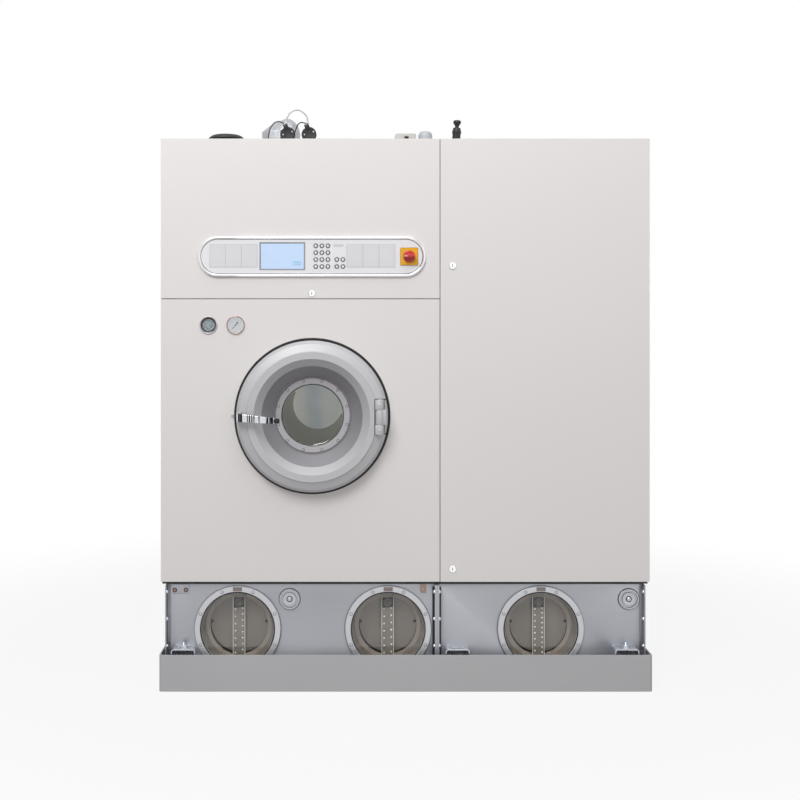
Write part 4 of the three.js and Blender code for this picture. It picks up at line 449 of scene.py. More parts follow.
finishTable = {
    "cabinetPaint": dict(base=(236, 232, 231), bump=0.00002, Cloud_Scale=1.6, Cloud_Amount=0.025,
                         Grain_Scale=700.0, Roughness=0.38, Roughness_Amount=0.1),
    "trayGrey": dict(base=(188, 189, 191), bump=0.00003, Cloud_Scale=5.0, Cloud_Amount=0.06,
                     Grain_Scale=500.0, Roughness=0.42, Roughness_Amount=0.2),
    "tankSteel": dict(base=(176, 178, 184), effect="brushing", metallic=0.55, bump=0.00002, Along_X=6.0,
                      Along_Z=260.0, Line_Amount=0.1, Patch_Scale=5.0, Patch_Amount=0.16, Roughness=0.42,
                      Roughness_Amount=0.25),
    "windowAlloy": dict(base=(205, 206, 210), effect="brushing", metallic=0.6, bump=0.00001, Along_X=60.0,
                        Along_Z=60.0, Line_Amount=0.05, Roughness=0.36),
    "frameBlack": dict(base=(62, 62, 64), bump=0.00003, Roughness=0.5),
    "stainless": dict(base=(196, 197, 198), effect="brushing", metallic=0.95, bump=0.00001, Along_X=8.0,
                      Along_Y=300.0, Along_Z=8.0, Line_Amount=0.12, Roughness=0.28),
    "doorGrey": dict(base=(194, 194, 197), metallic=0.2, bump=0.00003, Cloud_Scale=6.0, Cloud_Amount=0.04,
                     Grain_Scale=900.0, Roughness=0.52, Roughness_Amount=0.1),
    # painted shade: a darker copy of the door grey for the cone faces inside the door's recess
    "coneShadeGrey": dict(base=(160, 159, 163), metallic=0.2, bump=0.00003, Cloud_Scale=6.0, Cloud_Amount=0.04,
                     Grain_Scale=900.0, Roughness=0.56, Roughness_Amount=0.1),
    "floatBrown": dict(base=(84, 76, 74), metallic=0.2, Cloud_Scale=60.0, Roughness=0.36),
    "switchAmber": dict(base=(176, 112, 20), Roughness=0.4, Cloud_Scale=40.0),
    "castGrey": dict(base=(140, 141, 143), metallic=0.3, bump=0.00008, Cloud_Scale=12.0, Cloud_Amount=0.12,
                     Grain_Scale=400.0, Roughness=0.5),
    "motorBlue": dict(base=(84, 96, 108), bump=0.00006, Grain_Scale=400.0, Roughness=0.45),
    "blackRubber": dict(base=(22, 22, 22), bump=0.00004, Cloud_Amount=0.3, Grain_Scale=600.0,
                        Roughness=0.65),
    "brightRing": dict(base=(182, 180, 184), effect="brushing", metallic=0.3, Along_X=40.0, Along_Z=40.0,
                       Line_Amount=0.04, Roughness=0.33),
    "chrome": dict(base=(222, 224, 228), metallic=1.0, Cloud_Scale=20.0, Cloud_Amount=0.03, Roughness=0.09,
                   Roughness_Amount=0.06),
    "consoleSilver": dict(base=(240, 240, 243), bump=0.00001, Grain_Scale=1500.0, Cloud_Amount=0.02,
                          Roughness=0.3),
    # painted reflection: pale and pinkish-grey bands painted on the console rim's chrome
    "rimChrome": dict(base=(240, 240, 242), effect="reflections", metallic=1.0, Dark=(168, 160, 156),
                      Band_Scale=6.0, Band_Share=0.58, Band_Edge=0.2, Roughness=0.16),
    "gaugeRim": dict(base=(168, 140, 136), metallic=0.8, Roughness=0.26, Cloud_Scale=60.0),
    "throatBrown": dict(base=(74, 56, 56), metallic=0.5, Roughness=0.3, Cloud_Scale=60.0),
    "frameGrey": dict(base=(176, 174, 180), Roughness=0.4, Cloud_Scale=40.0),
    # painted reflection: white and dark blue bands painted on the door handle's chrome
    "handleChrome": dict(base=(214, 216, 218), effect="reflections", metallic=1.0, Dark=(14, 20, 32),
                         Band_Scale=128.0, Band_Share=0.49, Band_Edge=0.1, Roughness=0.1),
    # painted glow and painted reflection: the lock heads glow and carry pale bands so they look brighter
    "lockChrome": dict(base=(252, 251, 252), effect="reflections", metallic=0.25, glow=0.16,
                       Dark=(206, 200, 200), Band_Scale=90.0, Band_Share=0.56, Band_Edge=0.2,
                       Roughness=0.22),
    # painted shade: the holes of the drum's cage are dark dots in the colour
    "perforated": dict(base=(178, 176, 160), effect="perforation", metallic=1.0, Hole=(24, 24, 22),
                       Roughness=0.32),
    # painted reflection and painted glow: the drum's hub disc glows and carries cream and blue-grey bands
    "hubSteel": dict(base=(238, 233, 218), effect="reflections", metallic=0.45, glow=0.34,
                     Dark=(126, 150, 172), Band_Scale=7.0, Band_Share=0.44, Band_Edge=0.45, Roughness=0.32),
    # painted shade: the dark of the gaps between the front panels
    "gapShadeBrown": dict(base=(112, 98, 96), Cloud_Scale=4.0, Roughness=0.6),
    "switchBrown": dict(base=(20, 17, 18), Cloud_Scale=40.0, Roughness=0.5),
    "leadGrey": dict(base=(62, 62, 66), Cloud_Scale=60.0, Roughness=0.42),
    "hoseGrey": dict(base=(196, 198, 202), Cloud_Scale=60.0, Roughness=0.36),
    "hoseWhite": dict(base=(226, 224, 218), Cloud_Scale=60.0, Roughness=0.4),
    "domeGrey": dict(base=(180, 184, 190), Cloud_Scale=30.0, Roughness=0.4),
    "valveGrey": dict(base=(26, 26, 28), metallic=0.2, Cloud_Scale=40.0, Roughness=0.36),
    "screwPink": dict(base=(214, 196, 192), metallic=0.6, Roughness=0.3, Cloud_Scale=60.0),
    # painted shade: dark rings and lines for the shade round screw heads, in grooves and at seams
    "grooveShade": dict(base=(74, 70, 74), Roughness=0.5, Cloud_Scale=60.0),
    "knobBlack": dict(base=(17, 14, 14), Roughness=0.3, Cloud_Scale=60.0),
    "ruledGrey": dict(base=(236, 236, 239), effect="ruling", Ink=(196, 196, 202), Wide_Pitch=2.0,
                      Roughness=0.4),
    # painted shade: a dark grey for the gap between the console rim and fascia, and for the shadow gap round
    # each lock head
    "grooveShadeGrey": dict(base=(120, 120, 124), metallic=0.4, Roughness=0.4),
    "tagGrey": dict(base=(212, 212, 216), Cloud_Scale=60.0, Roughness=0.4),
    "bezelGrey": dict(base=(150, 150, 156), metallic=0.5, Cloud_Scale=20.0, Roughness=0.3),
    "screenBlue": dict(base=(190, 212, 240), glow=0.22, Cloud_Scale=9.0, Cloud_Amount=0.12, Roughness=0.16),
    "markBlue": dict(base=(140, 190, 222), glow=0.2, Cloud_Scale=60.0, Roughness=0.2),
    "dialWhite": dict(base=(184, 183, 190), Cloud_Scale=60.0, Roughness=0.4),
    "printBlack": dict(base=(44, 42, 56), Cloud_Scale=60.0, Roughness=0.5),
    "bowlGrey": dict(base=(186, 192, 198), metallic=0.3, bump=0.0002, Cloud_Scale=90.0, Cloud_Amount=0.6,
                     Roughness=0.24),
    "switchYellow": dict(base=(240, 178, 20), Roughness=0.38, coat=0.2, Cloud_Scale=30.0),
    "switchRed": dict(base=(196, 28, 24), Roughness=0.3, coat=0.3, Cloud_Scale=30.0),
    "keyGrey": dict(base=(238, 238, 242), Roughness=0.24, Cloud_Scale=60.0),
    "keyRing": dict(base=(104, 102, 108), metallic=0.5, Roughness=0.3, Cloud_Scale=60.0),
    "zinc": dict(base=(176, 178, 182), effect="spangle", metallic=0.75, bump=0.00004, Flake_Scale=70.0,
                 Flake_Amount=0.14, Roughness=0.4),
    "darkBrown": dict(base=(38, 33, 31), bump=0.00003, Cloud_Scale=20.0, Cloud_Amount=0.2, Roughness=0.42),
    "blackPlastic": dict(base=(24, 24, 25), bump=0.00005, Cloud_Scale=20.0, Cloud_Amount=0.2,
                         Roughness=0.48),
    "boltSteel": dict(base=(206, 210, 218), metallic=0.9, Cloud_Scale=60.0, Cloud_Amount=0.1,
                      Roughness=0.22),
    "plugSteel": dict(base=(188, 190, 196), effect="brushing", metallic=0.8, Along_X=90.0, Along_Z=90.0,
                      Line_Amount=0.06, Roughness=0.3),
    "linerBeige": dict(base=(146, 133, 126), metallic=0.2, bump=0.00002, Cloud_Scale=18.0, Cloud_Amount=0.1,
                       Roughness=0.45),
    # painted shade: a darker copy of the liner colour for the sleeve, plate and level strip inside the window
    # well
    "linerShadeDark": dict(base=(126, 116, 111), metallic=0.2, Cloud_Scale=14.0, Cloud_Amount=0.1,
                      Roughness=0.45),
    "deepBlack": dict(base=(12, 12, 13), Roughness=0.6, Cloud_Amount=0.2),
    "pinWhite": dict(base=(232, 232, 228), Roughness=0.4, Cloud_Scale=60.0),
    "tagBrown": dict(base=(132, 123, 118), metallic=0.2, Cloud_Scale=80.0, Cloud_Amount=0.2, Roughness=0.4),
    "zincBright": dict(base=(206, 210, 216), effect="spangle", metallic=0.8, bump=0.00002,
                       Flake_Scale=220.0, Flake_Amount=0.1, Roughness=0.3),
    "copper": dict(base=(160, 132, 116), metallic=0.7, Cloud_Scale=80.0, Cloud_Amount=0.3, Roughness=0.36),
    "terminalBeige": dict(base=(190, 189, 184), bump=0.00003, Cloud_Scale=14.0, Roughness=0.5),
}
finishes = {name: finish(name, **values) for name, values in finishTable.items()}


def giveSurface(tree, share, first, second):
    mixed = addNode(tree, "ShaderNodeMixShader", {}, share, first.outputs[0], second.outputs[0])
    link(tree, mixed.outputs[0], tree.nodes["Material Output"].inputs["Surface"])


def makeGlass(name, shade, shine):
    # clear to shadows, and glass to everything else
    made = bpy.data.materials.new(name)
    made.use_nodes = True
    tree = made.node_tree
    shader = tree.nodes["Principled BSDF"]
    shader.inputs["Transmission Weight"].default_value = 1.0
    shader.inputs["Metallic"].default_value = 0.0
    shader.inputs["IOR"].default_value = 1.45
    shader.inputs["Base Color"].default_value = colour(*shade)
    shader.inputs["Specular IOR Level"].default_value = shine
    place = tree.nodes.new("ShaderNodeTexCoord").outputs["Object"]
    haze = mathNode(tree, "MULTIPLY", noiseNode(tree, place, 9.0), 0.02)
    link(tree, haze, shader.inputs["Roughness"])
    clear = tree.nodes.new("ShaderNodeBsdfTransparent")
    clear.inputs["Color"].default_value = colour(*shade)
    path = tree.nodes.new("ShaderNodeLightPath")
    giveSurface(tree, path.outputs["Is Shadow Ray"], shader, clear)
    return made


for glassName, shade, shine in (
    ("paneGlass", (240, 243, 242), 0.16), ("tankGlass", (244, 246, 244), 0.3),
    ("sightGlassTint", (214, 218, 218), 0.3),
):
    finishes[glassName] = makeGlass(glassName, shade, shine)
print("finishes made")

wears = {
    "cabinetPaint": ["left_side_panel", "right_side_panel", "rear_panel", "top_panel", "lower_front_panel",
                     "service_door", "control_flap"],
    "trayGrey": ["drip_tray"],
    "tankSteel": ["left_tank", "right_tank"],
    "windowAlloy": ["tank_window_left", "tank_window_middle", "tank_window_right"],
    "frameBlack": ["frame"],
    "stainless": ["drum_housing", "drum_cage", "still_vessel", "filter_vessel"],
    "doorGrey": ["door_shell", "hinge_bracket"],
    "castGrey": ["drum_pulley", "motor_pulley", "valve_body"],
    "motorBlue": ["drive_motor"],
    "blackRubber": ["drive_belt", "porthole_trim"],
    "brightRing": ["window_clamp_ring"],
    "paneGlass": ["door_glass"],
    "chrome": ["door_handle", "sight_glass", "pressure_gauge", "service_door_lock_upper",
               "service_door_lock_lower", "flap_lock"],
    "consoleSilver": ["console_panel", "display_screen"],
    "switchYellow": ["main_switch_plate"],
    "switchRed": ["main_switch_knob"],
    "keyGrey": [f"key_{i:02d}" for i in range(1, 17)],
    "zinc": ["air_unit"],
    "darkBrown": ["pressure_switch_left", "pressure_switch_right"],
    "blackPlastic": ["vent_cap", "valve_knob"],
    "terminalBeige": ["terminal_box"],
}
wearOf = {node: finishName for finishName, nodes in wears.items() for node in nodes}
bodyOf = {node: body for body, nodes in frame["record"]["behaviour"]["bodies"].items() for node in nodes}


def paintCadNodes():
    for node, finishName in wearOf.items():
        carried = frame["nodes"][node]
        carried.data.materials.clear()
        carried.data.materials.append(finishes[finishName])


def done(piece, name, finishName, node, replaces=True):
    # names a piece, gives it its finish and lets it ride and stand for its CAD node
    piece.name = name
    piece.data.name = name
    piece.data.materials.clear()
    piece.data.materials.append(finishes[finishName])
    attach(piece, bodyOf[node])
    if replaces:
        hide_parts(node)
    return piece


def extra(piece, name, finishName, node):
    # a further piece of a CAD node that another piece already stands for
    return done(piece, name, finishName, node, replaces=False)


def turnedExtra(name, finishName, node, angle, place, profile, segments, ring=False):
    # a further piece that is turned round an axis from front to back
    return extra(smooth(turned(place, profile, "Y", segments, ring), angle), name, finishName, node)


paintCadNodes()
print("CAD nodes painted")


# A softened copy of a CAD node: its corners joined up, its flat faces whole and its edges eased
def eased(node, name, width, segments=2, angle=30, shadeAngle=35):
    deselect()
    source = frame["nodes"][node]
    source.hide_viewport = False
    source.select_set(True)
    bpy.context.view_layer.objects.active = source
    bpy.ops.object.duplicate(linked=False)
    twin = bpy.context.object
    twin.parent = None
    settle(twin)
    edit(twin, "VERT")
    bpy.ops.mesh.select_all(action="SELECT")
    bpy.ops.mesh.remove_doubles(threshold=0.000005)
    bpy.ops.mesh.dissolve_limited(angle_limit=math.radians(0.5))
    leave()
    if width:
        bevel(twin, width, segments, angle)
    smooth(twin, shadeAngle)
    return done(twin, name, wearOf[node], node)


# Loading door. Radii, and heights in front of the cabinet's face
door = {
    "outer": 0.281, "back": 0.006, "edge": 0.026, "shoulder": (0.269, 0.048), "ringOuter": 0.241,
    "ringInner": 0.214, "ringFront": 0.065, "coneTop": (0.187, 0.035), "coneFoot": (0.147, -0.04),
    "seat": (0.1165, -0.052), "wall": 0.006, "lip": (0.212, 0.22), "lipBack": -0.0247,
    "innerShoulder": (0.264, 0.043), "innerEdge": 0.275, "play": 0.003, "hinge": (0.249, 0.062),
    "hingeHalf": 0.064, "barrelHalf": 0.027, "barrel": 0.016, "knuckle": 0.0155, "bore": 0.0069,
    "pin": (0.006, 0.0658), "handle": (-0.266, 0.072), "ear": (0.007, 0.0128, 0.0188, 0.0043),
    "shadedCone": (0.1985, 0.0645),
}
hingePlace = (drumX + door["hinge"][0], faceY - door["hinge"][1])
handlePlace = (drumX + door["handle"][0], faceY - door["handle"][1])


def atFace(profile):
    # heights in front of the face become heights behind it along the turning axis
    return [(radius, -height) for radius, height in profile]


def turnedAtDoor(profile, segments=128, ring=True):
    return turned((drumX, faceY, drumZ), atFace(profile), "Y", segments, ring)


def makeDoorShell():
    d = door
    (coneX, coneZ), (footX, footZ), (seatX, seatZ), wall = d["coneTop"], d["coneFoot"], d["seat"], d["wall"]
    shell = turnedAtDoor([
        (d["outer"], d["back"]), (d["outer"], d["edge"]), d["shoulder"], (d["ringOuter"] + 0.001, 0.06),
        (d["ringOuter"] - 0.002, d["ringFront"]), (d["ringInner"], d["ringFront"]), (coneX, coneZ),
        (footX, footZ), (footX, seatZ), (seatX, seatZ), (seatX, seatZ - wall), (footX + wall, seatZ - wall),
        (footX + wall, footZ), (coneX + wall, coneZ - 0.002),
        (d["ringInner"] + 0.005, d["ringFront"] - wall), (d["ringOuter"] - 0.004, d["ringFront"] - wall),
        d["innerShoulder"], (d["innerEdge"], d["edge"]), (d["innerEdge"], d["back"]),
    ])
    notchX = hingePlace[0] - d["barrel"] - d["play"]
    half = d["hingeHalf"] + d["play"]
    notch = block((notchX, faceY - 0.09, drumZ - half), (drumX + 0.29, faceY + 0.001, drumZ + half))
    slot = block(
        (handlePlace[0] - 0.007, handlePlace[1], drumZ - 0.008),
        (handlePlace[0] + 0.019, faceY - 0.022, drumZ + 0.008),
    )
    carve(shell, notch, slot)
    bevel(shell, 0.0012, 1, 14)
    smooth(shell, 9)
    lip = turnedAtDoor([
        (d["lip"][0], d["ringFront"] - 0.003), (d["lip"][1], d["ringFront"] - 0.003),
        (d["lip"][1], d["lipBack"]), (d["lip"][0], d["lipBack"]),
    ])
    parts = [smooth(bevel(lip, 0.002, 2), 40)]
    for side in (-1, 1):
        ends = sorted((drumZ + side * (d["barrelHalf"] + 0.001), drumZ + side * d["hingeHalf"]))
        knuckle = turned((*hingePlace, 0), [(d["knuckle"], ends[0]), (d["knuckle"], ends[1])], "Z", 48)
        web = block((notchX + 0.0028, hingePlace[1] - 0.0145, ends[0]),
                    (hingePlace[0], faceY - 0.0435, ends[1]))
        carve(knuckle, web, operation="UNION")
        bore = turned((*hingePlace, 0), [(d["bore"], ends[0] - 0.01), (d["bore"], ends[1] + 0.01)], "Z", 48)
        carve(knuckle, bore)
        parts.append(bevel(knuckle, 0.0012, 2, 40))
        earRadius, earStart, earEnd, earBore = d["ear"]
        low, high = sorted((drumZ + side * earStart, drumZ + side * earEnd))
        ear = turned((*handlePlace, 0), [(earRadius, low), (earRadius, high)], "Z", 32)
        x, y = handlePlace
        foot = block((x - earRadius, y, low), (x + earRadius, faceY - 0.046, high))
        carve(ear, foot, operation="UNION")
        hole = turned((*handlePlace, 0), [(earBore, low - 0.01), (earBore, high + 0.01)], "Z", 24)
        carve(ear, hole)
        parts.append(bevel(ear, 0.0006, 2, 40))
    fittings = smooth(merge(*parts), 32)
    whole = done(merge(shell, fittings), "doorShell", "doorGrey", "door_shell")
    # painted shade: the faces of the cone, which look inwards into the door's recess, get a darker copy of
    # the door grey
    reach, rise = d["shadedCone"]
    whole.data.materials.append(finishes["coneShadeGrey"])
    pick(whole, lambda centre, normal: (
        math.hypot(centre.x - drumX, centre.z - drumZ) < reach and centre.y > faceY - rise
        and normal.x * (centre.x - drumX) + normal.z * (centre.z - drumZ) < 0
    ))
    whole.active_material_index = 1
    bpy.ops.object.material_slot_assign()
    leave()
    back = block(
        (notchX + 0.0006, faceY - 0.044, drumZ - half + 0.0006),
        (hingePlace[0] + 0.006, faceY - 0.036, drumZ + half - 0.0006),
    )
    extra(back, "hingeShadow", "deepBlack", "door_shell")


clamp = {"inner": 0.118, "outer": 0.1464, "front": -0.04, "back": -0.0514, "grooves": (0.1402, 0.1432),
         "screws": 12, "screwCircle": 0.1334, "screwRadius": 0.0036, "shadeRing": 0.0054, "lineHalf": 0.001}


def makeScrew(place, radius, height):
    # a low round head with a slot, facing forward
    head = turned((0, 0, 0), [(radius, 0), (radius, -height * 0.6), (radius * 0.8, -height)], "Z", 20)
    carve(head, block((-radius, -radius * 0.14, -height * 1.1), (radius, radius * 0.14, -height * 0.45)))
    head.rotation_euler = (math.radians(-90), 0, 0)
    head.location = place
    return settle(head)


def makeClampRing():
    c = clamp
    groove = 0.0008
    profile = [(c["inner"], c["front"]), (c["inner"] + 0.001, c["front"] + 0.001)]
    for radius in c["grooves"]:
        profile += [(radius - groove, c["front"] + 0.001), (radius, c["front"] - groove),
                    (radius + groove, c["front"] + 0.001)]
    profile += [
        (c["outer"] - 0.0012, c["front"] + 0.001), (c["outer"], c["front"]), (c["outer"], c["back"]),
        (0.129, c["back"]), (0.129, c["front"] - 0.006), (c["inner"], c["front"] - 0.006),
    ]
    ring = turnedAtDoor(profile)
    smooth(ring, 25)
    done(ring, "windowClampRing", "brightRing", "window_clamp_ring")
    screws, shadeRings = [], []
    for dx, dz in around(c["screws"], c["screwCircle"], 15):
        place = (drumX + dx, faceY - c["front"] - 0.0008, drumZ + dz)
        screws.append(makeScrew(place, c["screwRadius"], 0.0022))
        shadeRings.append(turned(place, [(c["shadeRing"], 0.0002), (c["shadeRing"], -0.0006)], "Y", 24))
    extra(smooth(merge(*screws), 30), "clampRingScrews", "screwPink", "window_clamp_ring")
    # painted shade: a dark ring round each screw head
    extra(smooth(merge(*shadeRings), 30), "clampRingScrewShade", "grooveShade", "window_clamp_ring")
    # painted shade: dark lines in the ring's grooves
    lines = []
    for radius in c["grooves"]:
        lines.append(turnedAtDoor([
            (radius - c["lineHalf"], c["front"] + 0.0012), (radius + c["lineHalf"], c["front"] + 0.0012),
            (radius + c["lineHalf"], c["front"] - 0.0002), (radius - c["lineHalf"], c["front"] - 0.0002),
        ]))
    extra(merge(*lines), "clampRingGrooveShade", "grooveShade", "window_clamp_ring")
    darkBand = turnedAtDoor([
        (0.115, c["front"] - 0.012), (0.1176, c["front"] - 0.012), (0.1176, c["front"] - 0.016),
        (0.115, c["front"] - 0.016),
    ])
    extra(smooth(darkBand, 30), "windowJointShade", "deepBlack", "door_shell")


glass = {"flat": 0.1168, "outer": 0.128, "front": -0.0463, "thickness": 0.0054, "crown": 0.014}


def makeDoorGlass():
    g = glass
    crown = [(g["flat"] * math.cos(a),
              g["crown"] * math.sin(a)) for a in (math.radians(i * 7.5) for i in range(12))]
    front = [(radius, g["front"] - rise) for radius, rise in reversed(crown)]
    back = [(radius, g["front"] - g["thickness"] - rise) for radius, rise in crown]
    pane = turnedAtDoor([*front, (g["outer"], g["front"]), (g["outer"], g["front"] - g["thickness"]),
                         *back], ring=False)
    smooth(pane, 40)
    done(pane, "doorGlass", "paneGlass", "door_glass")


handle = {"start": -0.008, "reach": 0.131, "bow": (0.024, 0.006), "height": (0.03, 0.022), "drop": 0.012,
          "thickness": 0.005, "steps": 24, "tip": 0.018, "pivot": (0.008, 0.0125), "pin": (0.0035, 0.0186),
          "tongue": (0.005, 0.006, 0.02)}


def handleCurve(share):
    # how far along and how far out the strip lies, on the bow from the pivot to the tip
    startX, endX = handle["start"], handle["reach"]
    pivot = handle["pivot"][0]
    outs = (pivot, pivot + handle["bow"][0], pivot + handle["bow"][1])
    xs = (startX, startX + (endX - startX) * 0.48, endX)
    weights = ((1 - share) ** 2, 2 * share * (1 - share), share ** 2)
    return sum(w * x for w, x in zip(weights, xs)), sum(w * o for w, o in zip(weights, outs))


def makeHandle():
    h = handle
    deselect()
    x0, y0 = handlePlace
    bpy.ops.mesh.primitive_plane_add(
        size=1, location=(x0 + h["start"], y0 - h["pivot"][0] - h["thickness"] / 2, drumZ),
        rotation=(0, math.radians(90), 0),
    )
    strip = bpy.context.object
    strip.scale = (h["height"][0], h["thickness"], 1)
    settle(strip)
    edit(strip)
    bpy.ops.mesh.select_all(action="SELECT")
    before = handleCurve(0)
    for step in range(1, h["steps"] + 1):
        share = step / h["steps"]
        along, out = handleCurve(share)
        fall = h["drop"] / h["steps"]
        bpy.ops.mesh.extrude_region_move(
            TRANSFORM_OT_translate={"value": (along - before[0], before[1] - out, -fall)},
        )
        tall = h["height"][0] + (h["height"][1] - h["height"][0]) * share
        tallBefore = h["height"][0] + (h["height"][1] - h["height"][0]) * (share - 1 / h["steps"])
        centre = (x0 + along, y0 - out - h["thickness"] / 2, drumZ - h["drop"] * share)
        bpy.ops.transform.resize(value=(1, 1, tall / tallBefore), center_override=centre)
        before = (along, out)
    leave()
    mend(strip)
    bevel(strip, 0.0016, 3, 50)
    radius, half = h["pivot"]
    pivot = turned((x0, y0, 0), [(radius, drumZ - half), (radius, drumZ + half)], "Z", 48)
    neck = block((x0 - 0.0078, y0 - 0.012, drumZ - 0.0123), (x0 + 0.0078, y0, drumZ + 0.0123))
    radius, half = h["pin"]
    pin = turned((x0, y0, 0), [(radius, drumZ - half), (radius, drumZ + half)], "Z", 32)
    across, half, reach = h["tongue"]
    tongue = block((x0 - across, y0, drumZ - half), (x0 + across, faceY + reach, drumZ + half))
    whole = merge(strip, bevel(pivot, 0.0008), bevel(neck, 0.0008), bevel(pin, 0.0006),
                  bevel(tongue, 0.001))
    done(smooth(whole, 40), "doorHandle", "handleChrome", "door_handle")
    end = x0 + h["reach"]
    tip = block((end - 0.004, y0 - 0.023, drumZ - h["drop"] - 0.009),
                (end + h["tip"], y0 - 0.009, drumZ - h["drop"] + 0.009))
    bevel(tip, 0.0055, 5, 40)
    extra(smooth(tip, 60), "doorHandleTip", "deepBlack", "door_handle")


def makeHingeBracket():
    d = door
    x, y = hingePlace
    barrel = turned((x, y, 0), [
        (d["knuckle"], drumZ - d["barrelHalf"]), (d["knuckle"], drumZ + d["barrelHalf"]),
    ], "Z", 48)
    web = block((x + 0.008, y - 0.008, drumZ - d["barrelHalf"]),
                (x + 0.0245, y + 0.024, drumZ + d["barrelHalf"]))
    carve(barrel, web, operation="UNION")
    bevel(barrel, 0.0012, 2, 40)
    pinRadius, pinHalf = d["pin"]
    pin = turned((x, y, 0), [(pinRadius, drumZ - pinHalf), (pinRadius, drumZ + pinHalf)], "Z", 32)
    bevel(pin, 0.001, 2, 40)
    rim = turnedAtDoor([(0.262, 0.05), (0.274, 0.04), (0.2805, 0.026), (0.2805, -0.0245),
                        (0.262, -0.0245)])
    keep = block((x + 0.0185, faceY - 0.065, drumZ - 0.061), (drumX + 0.281, faceY + 0.026, drumZ + 0.061))
    carve(rim, keep, operation="INTERSECT")
    bevel(rim, 0.001, 2, 40)
    whole = merge(barrel, pin, rim)
    done(smooth(whole, 32), "hingeBracket", "doorGrey", "hinge_bracket")
    screws = [makeScrew((x - 0.001, y - 0.0152, drumZ + side * 0.047), 0.0042, 0.0022) for side in (-1, 1)]
    extra(smooth(merge(*screws), 30), "hingeScrews", "boltSteel", "door_shell")


def makePortholeTrim():
    ring = turnedAtDoor([
        (0.2818, 0.001), (0.2826, 0.0026), (0.285, 0.003), (0.2895, 0.0026), (0.2908, 0.0012),
        (0.291, 0.0003), (0.2858, 0.0003), (0.2858, -0.0023), (0.2908, -0.0023), (0.2908, -0.0053),
        (0.2818, -0.0053),
    ])
    done(smooth(ring, 40), "portholeTrim", "blackRubber", "porthole_trim")


makeDoorShell()
makeClampRing()
makeDoorGlass()
makeHandle()
makeHingeBracket()
makePortholeTrim()
print("loading door made")


# Tanks. The shells follow the CAD solids, and the fittings on them are pieces of their own.
tank = {"wall": 0.003, "flange": 0.008, "endFlange": 0.004, "proud": 0.028, "groove": 0.012,
        "grooveDepth": 0.02, "liner": 0.06, "linerHole": 0.109, "strip": (0.046, 0.006),
        "skid": (0.06, 0.06), "opening": 0.135, "darkBand": (0.008, 0.0012),
        "joinHeights": (0.156, 0.257, 0.358), "dome": (0.0078, 0.0068)}
tankNodes = ("left_tank", "right_tank")
tankLow = {node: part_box(node)[0] for node in tankNodes}
tankHigh = {node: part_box(node)[1] for node in tankNodes}
tankFront = tankHigh["left_tank"].y - 1.37
tankTop = tankHigh["left_tank"].z
tankFloor = 0.04
windowNodes = {"tank_window_left": "left_tank", "tank_window_middle": "left_tank",
               "tank_window_right": "right_tank"}


def middleOf(node):
    low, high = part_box(node)
    return (low.x + high.x) / 2, (low.z + high.z) / 2


